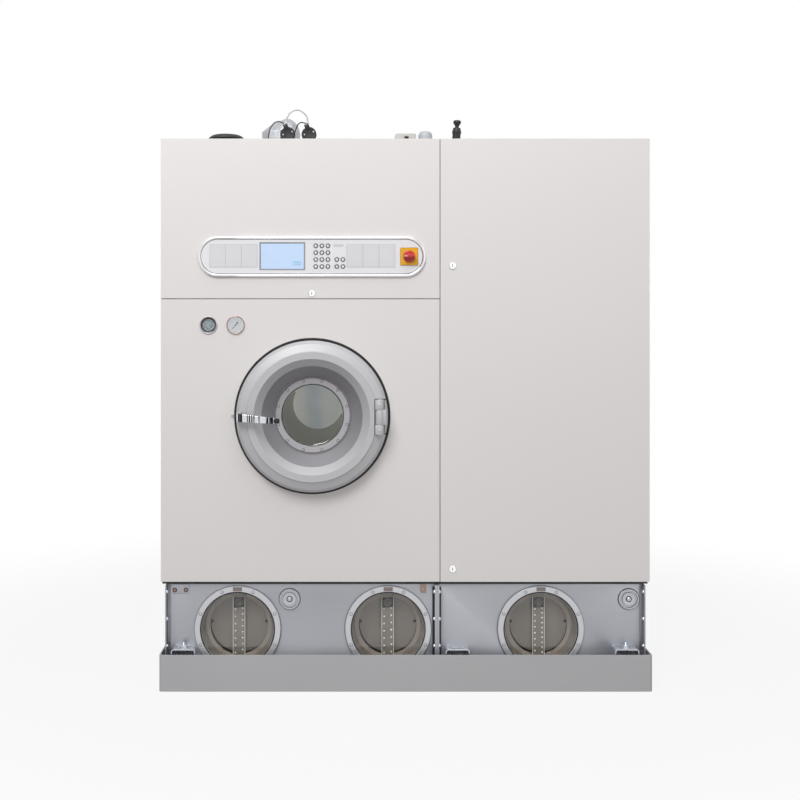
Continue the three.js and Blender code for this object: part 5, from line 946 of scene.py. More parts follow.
def makeTank(node, outward):
    t = tank
    low, high = tankLow[node], tankHigh[node]
    back = high.y
    end, joint = (low.x, high.x) if outward < 0 else (high.x, low.x)
    inner = t["endFlange"] + t["groove"] + t["wall"]
    shell = block((low.x, tankFront, tankFloor), (high.x, back, tankTop))
    groove = sorted((end - outward * t["endFlange"], end - outward * (t["endFlange"] + t["groove"])))
    cavity = sorted((end - outward * inner, joint + outward * t["wall"]))
    cutters = [
        block((groove[0], tankFront - 0.01, 0), (groove[1], tankFront + t["grooveDepth"], 0.5)),
        block((cavity[0], tankFront + t["wall"], tankFloor + t["wall"]),
              (cavity[1], back - t["wall"], tankTop - t["wall"])),
    ]
    for windowNode, owner in windowNodes.items():
        if owner == node:
            x, z = middleOf(windowNode)
            cutters.append(turned((x, tankFront, z), [(t["opening"], -0.01), (t["opening"], 0.01)], "Y",
                                  96))
    carve(shell, *cutters)
    bevel(shell, 0.0009, 2, 40)
    jointEnds = sorted((joint, joint + outward * t["flange"]))
    endEnds = sorted((end, end - outward * t["endFlange"]))
    for x0, x1 in (jointEnds, endEnds):
        flange = block((x0, tankFront - t["proud"], tankFloor), (x1, tankFront + 0.002, tankTop))
        shell = merge(shell, bevel(flange, 0.0008, 2))
    third = t["skid"][0]
    for x0 in (low.x + 0.08, (low.x + high.x - third) / 2, high.x - 0.08 - third):
        skid = block((x0, tankFront + 0.06, 0.0043), (x0 + third, back - 0.06, tankFloor + 0.001))
        shell = merge(shell, bevel(skid, 0.002, 2))
    name = "leftTank" if outward < 0 else "rightTank"
    done(smooth(shell, 35), name, "tankSteel", node)

    liner = block((cavity[0], tankFront + t["liner"], tankFloor + 0.002),
                  (cavity[1], tankFront + t["liner"] + 0.003, tankTop - 0.002))
    holes = []
    for windowNode, owner in windowNodes.items():
        if owner == node:
            x, z = middleOf(windowNode)
            place = (x, tankFront + t["liner"], z)
            holes.append(turned(place, [(t["linerHole"], -0.01), (t["linerHole"], 0.01)], "Y", 96))
    carve(liner, *holes)
    extra(smooth(bevel(liner, 0.0008, 2, 40), 35), name + "Liner", "linerBeige", node)

    # painted shade: dark strips beside the joint flange stand for the shadow gap there
    wide, proud = t["darkBand"]
    jointShadeEnds = sorted((jointEnds[0 if outward < 0 else 1],
                         jointEnds[0 if outward < 0 else 1] + outward * wide))
    darkBand = block((jointShadeEnds[0], tankFront - proud, tankFloor + 0.06),
                   (jointShadeEnds[1], tankFront + 0.001, tankTop - 0.01))
    extra(bevel(darkBand, 0.0004, 1), name + "JointShade", "blackRubber", node)
    domes = []
    radius, height = t["dome"]
    for z in t["joinHeights"]:
        for place, side in ((joint + outward * t["flange"], outward),
                            (end - outward * t["endFlange"], -outward)):
            dome = turned((0, 0, 0), [
                (radius, 0), (radius, height * 0.35), (radius * 0.86, height * 0.7),
                (radius * 0.5, height * 0.95), (radius * 0.2, height),
            ], "Z", 32)
            dome.rotation_euler = (0, math.radians(90 * side), 0)
            dome.location = (place, tankFront - t["proud"] / 2, z)
            domes.append(settle(dome))
    extra(smooth(merge(*domes), 50), name + "FlangeBolts", "boltSteel", node)


# Windows: a bolted ring, its pane, and behind them a sleeve, a strip of level pins and a float fitting
window = {"outer": 0.1614, "edge": 0.1592, "step": 0.1402, "inner": 0.1352, "thickness": 0.01, "bolts": 8,
          "boltCircle": 0.15, "bolt": (0.0046, 0.0024), "tag": (0.034, 0.015), "pane": 0.003,
          "sleeveFoot": 0.1245, "seam": 0.0014, "plate": 0.012, "plateShift": (0.005, 0.0075),
          "ear": (0.1035, 0.0065, 0.012), "pin": (0.0031, 0.0022), "pinColumn": 0.0135, "pinTop": 0.062,
          "fitting": (0.0165, 0.088), "line": 0.0016}
pinRows = {"tank_window_left": ((7, 0.0275), (8, 0.0225)), "tank_window_middle": ((7, 0.0275), (7, 0.0275)),
           "tank_window_right": ((8, 0.0225), (10, 0.0185))}


def makeWindow(node, number):
    w = window
    x, z = middleOf(node)
    back = tankFront - seatGap
    front = -w["thickness"]
    ring = turned((x, back, z), [
        (w["inner"], -0.0005), (w["inner"], front + 0.0032), (w["step"], front + 0.0032),
        (w["step"], front + 0.0006), (w["step"] + 0.0008, front), (w["edge"], front),
        (w["outer"], front + 0.0024), (w["outer"], -0.0005),
    ], "Y", 128, ring=True)
    done(smooth(ring, 25), f"windowRing{number}", "windowAlloy", node)
    turnedExtra(f"windowSeal{number}", "blackRubber", node, 25, (x, back, z), [
        (w["inner"] + 0.0004, front + 0.003), (w["inner"] + 0.0004, front + 0.0022),
        (w["step"] - 0.0002, front + 0.0022), (w["step"] - 0.0002, front + 0.003),
    ], 96, ring=True)
    radius, height = w["bolt"]
    bolts, shadeRings = [], []
    for dx, dz in around(w["bolts"], w["boltCircle"], 22.5):
        place = (x + dx, back + front, z + dz)
        bolts.append(makeScrew(place, radius, height))
        shadeRings.append(turned(place, [(radius + w["seam"], 0.0003), (radius + w["seam"], -0.0003)], "Y", 32))
    extra(smooth(merge(*bolts), 30), f"windowBolts{number}", "windowAlloy", node)
    # painted shade: dark rings round the bolt heads and at the seam round the window ring
    extra(smooth(merge(*shadeRings), 30), f"windowBoltShade{number}", "grooveShade", node)
    turnedExtra(f"windowSeamShade{number}", "grooveShade", node, 30, (x, tankFront, z), [
        (w["outer"] - 0.001, 0.0002), (w["outer"] - 0.001, -0.0005), (w["outer"] + w["seam"], -0.0005),
        (w["outer"] + w["seam"], 0.0002),
    ], 128, ring=True)
    wide, high = w["tag"]
    tag = block((x - wide / 2, back + front - 0.0007, z + w["boltCircle"] - high / 2),
                (x + wide / 2, back + front + 0.0005, z + w["boltCircle"] + high / 2))
    pick(tag, lambda centre, normal: normal.y < -0.5)
    bpy.ops.mesh.inset(thickness=0.0012, depth=-0.0004)
    leave()
    extra(tag, f"windowTag{number}", "tagBrown", node)
    pane = turned((x, back, z), [(w["inner"] - 0.0004, -0.002), (w["inner"] - 0.0004, -0.002 - w["pane"])],
                  "Y", 96)
    extra(smooth(bevel(pane, 0.0004, 1), 30), f"windowPane{number}", "tankGlass", node)


def makeWell(windowNode, node, number):
    w = window
    x, z = middleOf(windowNode)
    start = tankFront + tank["wall"] + 0.0005
    liner = tankFront + tank["liner"] - 0.0003
    # painted shade: the sleeve, the plate and the level strip inside the well take a darker copy of the liner
    # colour
    turnedExtra(f"wellSleeve{number}", "linerShadeDark", node, 25, (x, 0, z), [
        (tank["opening"] - 0.0004, start), (w["sleeveFoot"], liner - 0.001),
        (w["sleeveFoot"] + 0.002, liner - 0.001), (tank["opening"] + 0.002, start),
    ], 96, ring=True)
    depth = liner + w["plate"]
    hole = tank["linerHole"]
    plate = turned((x, depth, z), [(hole - 0.0008, 0), (hole - 0.0008, 0.002)], "Y", 96)
    shiftX, shiftZ = w["plateShift"]
    reach = turned((x + shiftX, depth, z + shiftZ), [(hole + 0.002, -0.01), (hole + 0.002, 0.01)], "Y", 96)
    carve(plate, reach, operation="INTERSECT")
    earX, earRadius, earRise = w["ear"]
    ears = [turned((x + side * earX, depth, z + earRise), [(earRadius, -0.01), (earRadius, 0.01)], "Y",
                   24) for side in (-1, 1)]
    carve(plate, *ears)
    extra(smooth(plate, 30), f"wellPlate{number}", "linerShadeDark", node)
    turnedExtra(f"wellShadow{number}", "deepBlack", node, 30, (x, depth + 0.006, z),
                [(hole + 0.006, 0), (hole + 0.006, 0.002)], 64)
    wide, thick = tank["strip"]
    face = liner - thick
    strip = block((x - wide / 2, face, tankFloor + 0.004), (x + wide / 2, liner + 0.0003, tankTop - 0.004))
    extra(smooth(bevel(strip, 0.0006, 1), 35), f"levelStrip{number}", "linerShadeDark", node)
    lines = []
    for side in (-1, 1):
        at = x + side * (wide / 2 - w["line"] / 2)
        lines.append(block((at - w["line"] / 2, face - 0.0012, tankFloor + 0.006),
                           (at + w["line"] / 2, face, z + w["fitting"][1] + 0.02)))
    pinRadius, pinHeight = w["pin"]
    pins = []
    for side, (count, pitch) in zip((-1, 1), pinRows[windowNode]):
        for row in range(count):
            place = (x + side * w["pinColumn"], face,
                     z + w["pinTop"] + (0.004 if side > 0 else 0) - row * pitch)
            pins.append(turned(place, [(pinRadius, 0.0002), (pinRadius, -pinHeight * 0.4),
                                       (pinRadius * 0.6, -pinHeight)], "Y", 16))
    extra(smooth(merge(*lines, *pins), 40), f"levelPins{number}", "pinWhite", node)
    radius, rise = w["fitting"]
    square = block((x - radius * 1.25, face - 0.002, z + rise - radius * 1.2),
                   (x + radius * 1.25, face, z + rise + radius * 1.1))
    extra(bevel(square, 0.001, 1), f"floatPlate{number}", "deepBlack", node)
    turnedExtra(f"floatCap{number}", "floatBrown", node, 30, (x, face - 0.002, z + rise), [
        (radius, 0), (radius, -0.004), (radius * 0.8, -0.006), (radius * 0.72, -0.003),
        (radius * 0.42, -0.003), (radius * 0.36, -0.008), (radius * 0.1, -0.009),
    ], 48)


# Plugs with nested rings, and the brackets that hold the tanks down in the tray
plug = {"radius": 0.0385, "proud": 0.008, "places": {"left_tank": -0.4313, "right_tank": 0.8358},
        "z": 0.3282}


def makePlug(node, number):
    p = plug
    r, out = p["radius"], p["proud"]
    place = (p["places"][node], tankFront, p["z"])
    turnedExtra(f"tankPlug{number}", "plugSteel", node, 28, place, [
        (r, 0.0005), (r, -out + 0.003), (r - 0.0015, -out), (r - 0.006, -out), (r - 0.0075, -out + 0.003),
        (r - 0.008, -0.0005), (r - 0.0125, -0.0005), (r - 0.013, -out + 0.003), (r - 0.0145, -out + 0.0005),
        (r - 0.0185, -out + 0.0002), (r - 0.027, -out + 0.003), (0.0085, -out + 0.0032),
        (0.008, -out - 0.0012), (0.0062, -out - 0.0026), (0.002, -out - 0.0028),
    ], 96)
    # painted shade: dark rings in the plug's grooves and at its seam
    rings = []
    for inner, outer, depth in ((r - 0.0126, r - 0.0079, 0.0004), (0.0084, 0.0112, out - 0.0026),
                                (r - 0.0001, r + 0.0022, 0.0004)):
        rings.append(turned(place, [(inner, 0.0003), (inner, -depth), (outer, -depth), (outer, 0.0003)],
                            "Y", 96, ring=True))
    extra(smooth(merge(*rings), 30), f"tankPlugGrooveShade{number}", "deepBlack", node)


bracket = {"width": 0.089, "reach": 0.052, "top": 0.152, "sheet": 0.0035, "radius": 0.01,
           "nut": (0.0105, 0.009), "washer": (0.0145, 0.0022), "stud": (0.0058, 19)}
bracketPlaces = [(-0.868, "left_tank", True), (0.148, "right_tank", False), (0.775, "right_tank", True)]


def makeBracket(x, node, bolted, number):
    b = bracket
    y0, y1 = tankFront - b["reach"], tankFront - 0.0002
    arch = block((x, y0, 0.0043), (x + b["width"], y1, b["top"]))
    roundCorners(arch, 1, b["radius"], 5)
    inside = block((x + b["sheet"], y0 - 0.01, -0.02),
                   (x + b["width"] - b["sheet"], y1 - 0.004, b["top"] - b["sheet"]))
    roundCorners(inside, 1, b["radius"] - b["sheet"], 5)
    carve(arch, inside)
    if not bolted:
        slot = block((x + 0.026, y0 + 0.018, 0.12), (x + 0.066, y0 + 0.03, 0.16))
        roundCorners(slot, 2, 0.0055, 5)
        carve(arch, slot)
    extra(smooth(bevel(arch, 0.0007, 2, 40), 35), f"holdDown{number}", "zincBright", node)
    if bolted:
        middle, depth = x + b["width"] / 2, (y0 + tankFront) / 2
        washer, high = b["washer"]
        nutRadius, nutHeight = b["nut"]
        studRadius, threads = b["stud"]
        flat = turned((middle, depth, b["top"]), [(washer, 0), (washer, high)], "Z", 48)
        nut = turned((middle, depth, b["top"] + high), [
            (nutRadius, 0), (nutRadius, nutHeight - 0.0012), (nutRadius * 0.86, nutHeight),
        ], "Z", 6)
        thread = [(studRadius - (0.0007 if i % 2 else 0), 0.001 + i * 0.0011) for i in range(threads)]
        stud = turned((middle, depth, b["top"]), thread, "Z", 32)
        whole = merge(bevel(flat, 0.0005, 2), bevel(nut, 0.0005, 2, 25), stud)
        extra(smooth(whole, 30), f"holdDownNut{number}", "zincBright", node)


# Small plates under the cabinet's edge
ironwork = {"plate": (-0.8697, -0.8072, 0.3496), "screws": ((-0.86, 0.362), (-0.8185, 0.3625)),
            "clip": (0.058, 0.0786, 0.352), "thickness": 0.003}


def makeIronwork():
    i = ironwork
    x0, x1, z0 = i["plate"]
    plate = block((x0, tankFront - i["thickness"], z0), (x1, tankFront, tankTop - 0.001))
    roundCorners(plate, 1, 0.006, 4)
    extra(smooth(bevel(plate, 0.0006, 2, 40), 35), "cornerPlate", "tankSteel", "left_tank")
    heads, wells = [], []
    for x, z in i["screws"]:
        wells.append(turned((x, tankFront - i["thickness"], z),
                            [(0.0085, 0.0005), (0.0085, -0.0008), (0.0066, -0.001)], "Y", 32))
        heads.append(makeScrew((x, tankFront - i["thickness"] - 0.0008, z), 0.0056, 0.003))
    extra(smooth(merge(*wells), 30), "cornerCups", "darkBrown", "left_tank")
    extra(smooth(merge(*heads), 30), "cornerScrews", "copper", "left_tank")
    x0, x1, z0 = i["clip"]
    clip = block((x0, tankFront - 0.004, z0), (x1, tankFront, tankTop - 0.002))
    carve(clip, turned(((x0 + x1) / 2, tankFront, z0 + 0.0145), [(0.0048, -0.01), (0.0048, 0.01)], "Y", 32))
    extra(smooth(bevel(clip, 0.0008, 2, 40), 35), "copperClip", "copper", "left_tank")


makeTank("left_tank", -1)
makeTank("right_tank", 1)
for number, (windowNode, node) in enumerate(windowNodes.items(), 1):
    makeWindow(windowNode, number)
    makeWell(windowNode, node, number)
for number, node in enumerate(tankNodes, 1):
    makePlug(node, number)
for number, (x, node, bolted) in enumerate(bracketPlaces, 1):
    makeBracket(x, node, bolted, number)
makeIronwork()
print("tanks and windows made")


# Console: a bright rim round a pale fascia, with ruled panels, screen, keys and main switch
console = {"rim": 0.01, "rimDepth": 0.0095, "seat": 0.0003, "fascia": 0.006, "margin": 0.0125,
           "line": 0.0012, "panelZ": (1.5664, 1.6515), "panelX": ((-0.7276, -0.5499), (-0.218, -0.0376)),
           "ruling": 0.0008, "tag": (-0.2483, 1.6477, 0.0385, 0.0095), "keyHole": 0.0089}
consoleLow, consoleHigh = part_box("console_panel")


def pillBlock(inset, y0, y1):
    low = (consoleLow.x + inset, y0, consoleLow.z + inset)
    high = (consoleHigh.x - inset, y1, consoleHigh.z - inset)
    piece = block(low, high)
    return roundCorners(piece, 1, (high[2] - low[2]) / 2 - 0.0005, 24)


def keySpots():
    for i in range(1, 17):
        low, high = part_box(f"key_{i:02d}")
        yield f"key_{i:02d}", (low.x + high.x) / 2, (low.z + high.z) / 2


def makeConsole():
    c = console
    seat = faceY - c["seat"]
    rim = pillBlock(0, faceY - c["rimDepth"], seat)
    carve(rim, pillBlock(c["rim"], faceY - 0.02, faceY + 0.01))
    bevel(rim, 0.0036, 5, 40)
    done(smooth(rim, 60), "consoleRim", "rimChrome", "console_panel")
    groove = pillBlock(c["rim"] - 0.0005, faceY - c["fascia"] + 0.0002, seat)
    carve(groove, pillBlock(c["margin"], faceY - 0.02, faceY + 0.01))
    # painted shade: the gap between the chrome rim and the fascia
    extra(groove, "consoleGapShade", "grooveShadeGrey", "console_panel")
    fascia = pillBlock(c["margin"] - 0.0004, faceY - c["fascia"], seat)
    low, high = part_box("display_screen")
    cutters = [block((low.x - 0.0004, faceY - 0.02, low.z - 0.0004),
                     (high.x + 0.0004, faceY + 0.01, high.z + 0.0004))]
    for _, x, z in keySpots():
        cutters.append(turned((x, faceY, z), [(c["keyHole"], -0.02), (c["keyHole"], 0.01)], "Y", 32))
    x, z = middleOf("main_switch_plate")
    cutters.append(turned((x, faceY, z), [(0.0062, -0.02), (0.0062, 0.01)], "Y", 24))
    carve(fascia, merge(*cutters))
    extra(smooth(bevel(fascia, 0.0004, 1, 40), 30), "consoleFascia", "consoleSilver", "console_panel")
    # painted shade: dark plates behind the key holes, so the gap round each key is dark
    wells = []
    for low, high in (((-0.345, 1.556), (-0.275, 1.66)), ((-0.266, 1.556), (-0.22, 1.608))):
        wells.append(block((low[0], faceY - 0.0018, low[1]), (high[0], faceY - 0.001, high[1])))
    extra(merge(*wells), "keyWells", "deepBlack", "console_panel")
    z0, z1 = c["panelZ"]
    frames, tiles = [], []
    front = faceY - c["fascia"]
    for x0, x1 in c["panelX"]:
        frames.append(block((x0, front - c["ruling"] * 0.5, z0), (x1, front + 0.0002, z1)))
        wide = (x1 - x0 - c["line"] * 4) / 3
        for i in range(3):
            start = x0 + c["line"] + i * (wide + c["line"])
            tile = block((start, front - c["ruling"], z0 + c["line"]),
                         (start + wide, front, z1 - c["line"]))
            tiles.append(bevel(tile, 0.0002, 1))
    extra(merge(*frames), "panelFrames", "frameGrey", "console_panel")
    extra(merge(*tiles), "ruledPanels", "ruledGrey", "console_panel")
    x, z, wide, high = c["tag"]
    tag = block((x - wide / 2, faceY - c["fascia"] - 0.0006, z - high / 2),
                (x + wide / 2, faceY - c["fascia"] + 0.0002, z + high / 2))
    roundCorners(tag, 1, high / 2 - 0.0003, 8)
    extra(smooth(bevel(tag, 0.0002, 1, 40), 30), "consoleTag", "tagGrey", "console_panel")


screen = {"bezel": 0.0085, "sunk": 0.0012, "marks": ((-0.3905, 1.5735), 0.0052, 0.0068, 0.0078, 4, 2)}


def makeScreen():
    s = screen
    low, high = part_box("display_screen")
    front = faceY - console["fascia"] - 0.0002
    bezel = block((low.x, front, low.z), (high.x, faceY - 0.0008, high.z))
    pick(bezel, lambda centre, normal: normal.y < -0.5)
    bpy.ops.mesh.inset(thickness=s["bezel"] * 0.45, depth=0.0)
    bpy.ops.mesh.inset(thickness=0.0008, depth=-s["sunk"])
    leave()
    done(bevel(bezel, 0.0002, 1, 40), "screenBezel", "bezelGrey", "display_screen")
    inset = s["bezel"] * 0.45 + 0.0008
    pane = block((low.x + inset, front + s["sunk"] - 0.0006, low.z + inset),
                 (high.x - inset, front + s["sunk"] + 0.0002, high.z - inset))
    extra(pane, "screenPane", "screenBlue", "display_screen")
    (x0, z0), wide, tall, pitch, columns, rows = s["marks"]
    marks = []
    for column in range(columns):
        for row in range(rows):
            x = x0 - column * pitch
            z = z0 + row * pitch * 1.1
            marks.append(block((x - wide / 2, front + s["sunk"] - 0.0008, z),
                               (x + wide / 2, front + s["sunk"] - 0.0005, z + tall)))
    extra(merge(*marks), "screenMarks", "markBlue", "display_screen")


def makeKeys():
    for node, x, z in keySpots():
        button = turned((x, faceY, z), [
            (0.0079, -0.0036), (0.0079, -0.0064), (0.0074, -0.0077), (0.0064, -0.0082), (0.005, -0.008),
            (0.0038, -0.007), (0.0014, -0.0067),
        ], "Y", 40)
        name = node.replace("_", "Button")
        done(smooth(button, 35), name, "keyRing", node)
        cap = turned((x, faceY, z), [(0.0047, -0.006), (0.0047, -0.008), (0.004, -0.0083),
                                     (0.0012, -0.0083)], "Y", 32)
        extra(smooth(cap, 40), name + "Cap", "keyGrey", node)


knob = {"radius": 0.0222, "base": 0.0098, "grip": (0.043, 0.015, 0.0195), "plateEdge": 0.0018}


def makeSwitch():
    k = knob
    low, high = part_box("main_switch_plate")
    x, z = middleOf("main_switch_plate")
    for name, finishName, inset, y0, y1, whole in (
        ("switchPlate", "switchAmber", 0, low.y + 0.0006, high.y, True),
        ("switchFace", "switchYellow", k["plateEdge"], low.y, low.y + 0.0005, False),
    ):
        plate = block((low.x + inset, y0, low.z + inset), (high.x - inset, y1, high.z - inset))
        roundCorners(plate, 1, 0.003 - inset * 0.6, 4)
        carve(plate, turned((x, low.y, z), [(0.0062, -0.01), (0.0062, 0.01)], "Y", 24))
        done(smooth(plate, 30), name, finishName, "main_switch_plate", replaces=whole)
    seat = low.y - seatGap
    disc = turned((x, seat, z), [
        (k["radius"] - 0.001, 0), (k["radius"], -0.0012), (k["radius"], -k["base"] + 0.003),
        (k["radius"] - 0.0012, -k["base"] + 0.0008), (k["radius"] - 0.0034, -k["base"]),
    ], "Y", 96)
    wide, tall, deep = k["grip"]
    grip = block((x - wide / 2, seat - k["base"] - deep, z - tall / 2),
                 (x + wide / 2, seat - 0.002, z + tall / 2))
    pick(grip, lambda centre, normal: normal.y < -0.5)
    bpy.ops.transform.resize(value=(0.94, 1, 0.72), center_override=(x, seat - k["base"] - deep, z))
    leave()
    bevel(grip, 0.0034, 5, 30)
    shaft = turned((x, seat, z), [(0.005, -0.001), (0.005, 0.029)], "Y", 24)
    done(smooth(merge(bevel(disc, 0.0006, 2, 40), grip, shaft), 45), "switchKnob", "switchRed",
         "main_switch_knob")
    pointer = block((x - wide * 0.46, seat - k["base"] - deep - 0.0003, z - 0.0011),
                    (x - wide * 0.16, seat - k["base"] - deep + 0.0006, z + 0.0011))
    extra(bevel(pointer, 0.0002, 1), "switchPointer", "pinWhite", "main_switch_knob")


# Turn locks: a bright head with a painted glow and painted reflections, a sunk barrel, a key slot darkened
# with painted shade, a painted shadow ring round the head, and a cam behind the sheet
lock = {"head": 0.01375, "proud": 0.003, "barrel": 0.009, "depth": 0.016, "cam": (0.015, 0.012, 0.004),
        "slot": (0.0022, 0.0115)}


def makeLock(node, name, upright):
    size = lock
    low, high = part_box(node)
    x = low.x + size["head"] if not upright else (low.x + high.x) / 2
    z = (low.z + high.z) / 2 if not upright else low.z + size["head"]
    seat = faceY - seatGap
    head = turned((x, seat, z), [
        (size["head"] - 0.0008, -0.0004), (size["head"] - 0.0006, -size["proud"] + 0.001),
        (size["head"] - 0.0016, -size["proud"]), (size["barrel"] + 0.0008, -size["proud"]),
        (size["barrel"] + 0.0002, -size["proud"] + 0.0012),
        (size["barrel"] - 0.0004, -size["proud"] + 0.0012),
        (size["barrel"] - 0.0008, -size["proud"] + 0.0004), (0.002, -size["proud"] + 0.0004),
    ], "Y", 64)
    wide, tall = size["slot"]
    carve(head, block((x - wide / 2, seat - 0.01, z - tall / 2),
                      (x + wide / 2, seat - 0.0006, z + tall / 2)))
    body = turned((x, seat, z), [(size["barrel"], -0.0002), (size["barrel"], size["depth"] + 0.0003)], "Y",
                  32)
    reach, across, thick = size["cam"]
    y0, y1 = faceY + size["depth"] - thick, faceY + size["depth"]
    if upright:
        cam = block((x - across / 2, y0, z), (x + across / 2, y1, z + reach))
    else:
        cam = block((x, y0, z - across / 2), (x + reach, y1, z + across / 2))
    whole = merge(head, body, bevel(cam, 0.0008, 2))
    done(smooth(whole, 30), name, "lockChrome", node)
    # painted shadow: a dark ring in the gap round the lock head
    turnedExtra(name + "ShadowRing", "grooveShadeGrey", node, 30, (x, seat, z),
                [(size["head"], 0.0001), (size["head"], -0.0006)], 64)
    # painted shade: a dark fill at the bottom of the key slot
    fill = block((x - wide / 2, seat - size["proud"] + 0.0014, z - tall / 2),
                 (x + wide / 2, seat - 0.0007, z + tall / 2))
    extra(fill, name + "Slot", "deepBlack", node)


# Gauges: a sight glass on the left and a pressure gauge with its needle on the right
gauge = {"rim": 0.034, "body": 0.0265, "depth": 0.038, "digitCircle": 0.0165, "digit": 0.0068,
         "needle": (0.0195, 0.0013), "ticks": 28, "sweep": (-225, 45)}


def makeSightGlass():
    x, z = middleOf("sight_glass")
    seat = faceY - seatGap
    r = 0.0329
    body = turned((x, seat, z), [
        (0.0262, 0.038), (0.0262, 0.0002), (r, 0), (r, -0.0028), (r - 0.0008, -0.0044),
        (r - 0.0022, -0.005), (r - 0.0036, -0.0044), (r - 0.0042, -0.003), (r - 0.0046, -0.0004),
        (0.0264, 0.0), (0.0252, 0.003), (0.025, 0.019), (0.015, 0.019), (0.0015, 0.019),
    ], "Y", 96)
    tube = turned((x, seat, z), [(0.012, 0.037), (0.012, 0.098)], "Y", 32)
    done(smooth(merge(body, bevel(tube, 0.0008, 2)), 30), "sightGlass", "brightRing", "sight_glass")
    turnedExtra("sightThroat", "throatBrown", "sight_glass", 40, (x, seat, z), [
        (0.0281, -0.0007), (0.0266, -0.0001), (0.0254, 0.0032), (0.0252, 0.0186), (0.0234, 0.0186),
        (0.024, 0.0032), (0.0252, -0.0008), (0.0276, -0.0013),
    ], 64, ring=True)
    turnedExtra("sightFlow", "bowlGrey", "sight_glass", 30, (x, seat, z), [
        (0.0236, 0.0185), (0.0236, 0.008), (0.021, 0.0066), (0.015, 0.0072), (0.013, 0.0052),
        (0.007, 0.005), (0.002, 0.0046),
    ], 64)
    turnedExtra("sightPane", "sightGlassTint", "sight_glass", 30, (x, seat, z),
                [(0.0248, -0.0002), (0.0248, 0.0016)], 64)


def makeGauge():
    g = gauge
    x, z = middleOf("pressure_gauge")
    seat = faceY - seatGap
    r = g["rim"]
    body = turned((x, seat, z), [
        (g["body"] - seatGap, g["depth"]), (g["body"] - seatGap, 0.0002), (r, 0), (r, -0.0036),
        (r - 0.0006, -0.0047), (r - 0.0016, -0.005), (r - 0.0026, -0.0047), (r - 0.0031, -0.0036),
        (r - 0.0032, -0.0012), (r - 0.004, -0.0012),
    ], "Y", 96)
    stem = turned((x, seat, z), [(0.007, 0.037), (0.007, 0.058)], "Y", 6)
    done(smooth(merge(body, bevel(stem, 0.0008, 2)), 30), "pressureGauge", "gaugeRim", "pressure_gauge")
    turnedExtra("gaugeDial", "dialWhite", "pressure_gauge", 30, (x, seat, z),
                [(r - 0.0034, -0.0011), (r - 0.0034, -0.0016)], 64)
    marks = []
    start, end = g["sweep"]
    for i in range(g["ticks"] + 1):
        long = i % 4 == 0
        mark = block((0.0205 if long else 0.0225, -0.0019, -0.0004 if long else -0.0002),
                     (0.025, -0.0015, 0.0004 if long else 0.0002))
        mark.rotation_euler = (0, math.radians(start + (end - start) * i / g["ticks"]), 0)
        mark.location = (x, seat, z)
        marks.append(settle(mark))
    for i in range(0, g["ticks"] + 1, 8):
        angle = math.radians(start + (end - start) * i / g["ticks"])
        deselect()
        place = (x + g["digitCircle"] * math.cos(angle), seat - 0.0016,
                 z - g["digitCircle"] * math.sin(angle))
        bpy.ops.object.text_add(location=place, rotation=(math.radians(90), 0, 0))
        digit = bpy.context.object
        digit.data.body = str(i // 4)
        digit.data.size = g["digit"]
        digit.data.extrude = 0.00015
        digit.data.align_x = "CENTER"
        digit.data.align_y = "CENTER"
        bpy.ops.object.convert(target="MESH")
        marks.append(mend(settle(bpy.context.object)))
    length, wide = g["needle"]
    needle = block((-0.01, -0.0028, -wide / 2), (length, -0.0022, wide / 2))
    tail = turned((-0.0105, 0, 0), [(0.0034, -0.002), (0.0034, -0.0031)], "Y", 24)
    needle = merge(needle, tail)
    needle.rotation_euler = (0, math.radians(128), 0)
    needle.location = (x, seat, z)
    hub = turned((x, seat, z), [(0.003, -0.0015), (0.003, -0.0034)], "Y", 32)
    extra(smooth(merge(*marks, settle(needle), bevel(hub, 0.0004, 2)), 30), "gaugeMarks", "printBlack",
          "pressure_gauge")
    turnedExtra("gaugePane", "tankGlass", "pressure_gauge", 30, (x, seat, z),
                [(r - 0.003, -0.0036), (r - 0.003, -0.0042)], 64)


# Latch plunger beside the loading door
def makePlunger():
    x = drumX - 0.297
    turnedExtra("latchPlunger", "deepBlack", "lower_front_panel", 40, (x, faceY, drumZ),
                [(0.0052, 0.0002), (0.0052, -0.0014), (0.0038, -0.002), (0.0036, -0.005),
                 (0.0024, -0.006)], 32)


makeConsole()
makeScreen()
makeKeys()
makeSwitch()
makeLock("flap_lock", "flapLock", False)
makeLock("service_door_lock_upper", "upperLock", True)
makeLock("service_door_lock_lower", "lowerLock", True)
makeSightGlass()
makeGauge()
makePlunger()
print("console, locks and gauges made")


# Cabinet: each sheet with its edges eased
cabinet = {"edge": 0.0006, "gap": 0.0004, "depth": 0.002}
sheets = {"control_flap": "controlFlap", "service_door": "serviceDoor",
          "lower_front_panel": "lowerFrontPanel",
          "left_side_panel": "leftSidePanel", "right_side_panel": "rightSidePanel",
          "rear_panel": "rearPanel",
          "top_panel": "topPanel"}


def makeCabinet():
    for node, name in sheets.items():
        eased(node, name, cabinet["edge"], 1, 30, 4)
    # painted shade: dark strips in the gaps between the flap, the door and the panel below
    gap, depth = cabinet["gap"], cabinet["depth"]
    flapLow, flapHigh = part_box("control_flap")
    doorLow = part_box("service_door")[0]
    panelLow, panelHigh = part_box("lower_front_panel")
    upright = block((flapHigh.x + gap, faceY + depth, panelLow.z + 0.002),
                    (doorLow.x - gap, faceY + 0.022, flapHigh.z - 0.002))
    level = block((flapLow.x + 0.004, faceY + depth, panelHigh.z + gap),
                  (flapHigh.x - 0.004, faceY + 0.022, flapLow.z - gap))
    extra(merge(upright, level), "frontGapShade", "gapShadeBrown", "frame")


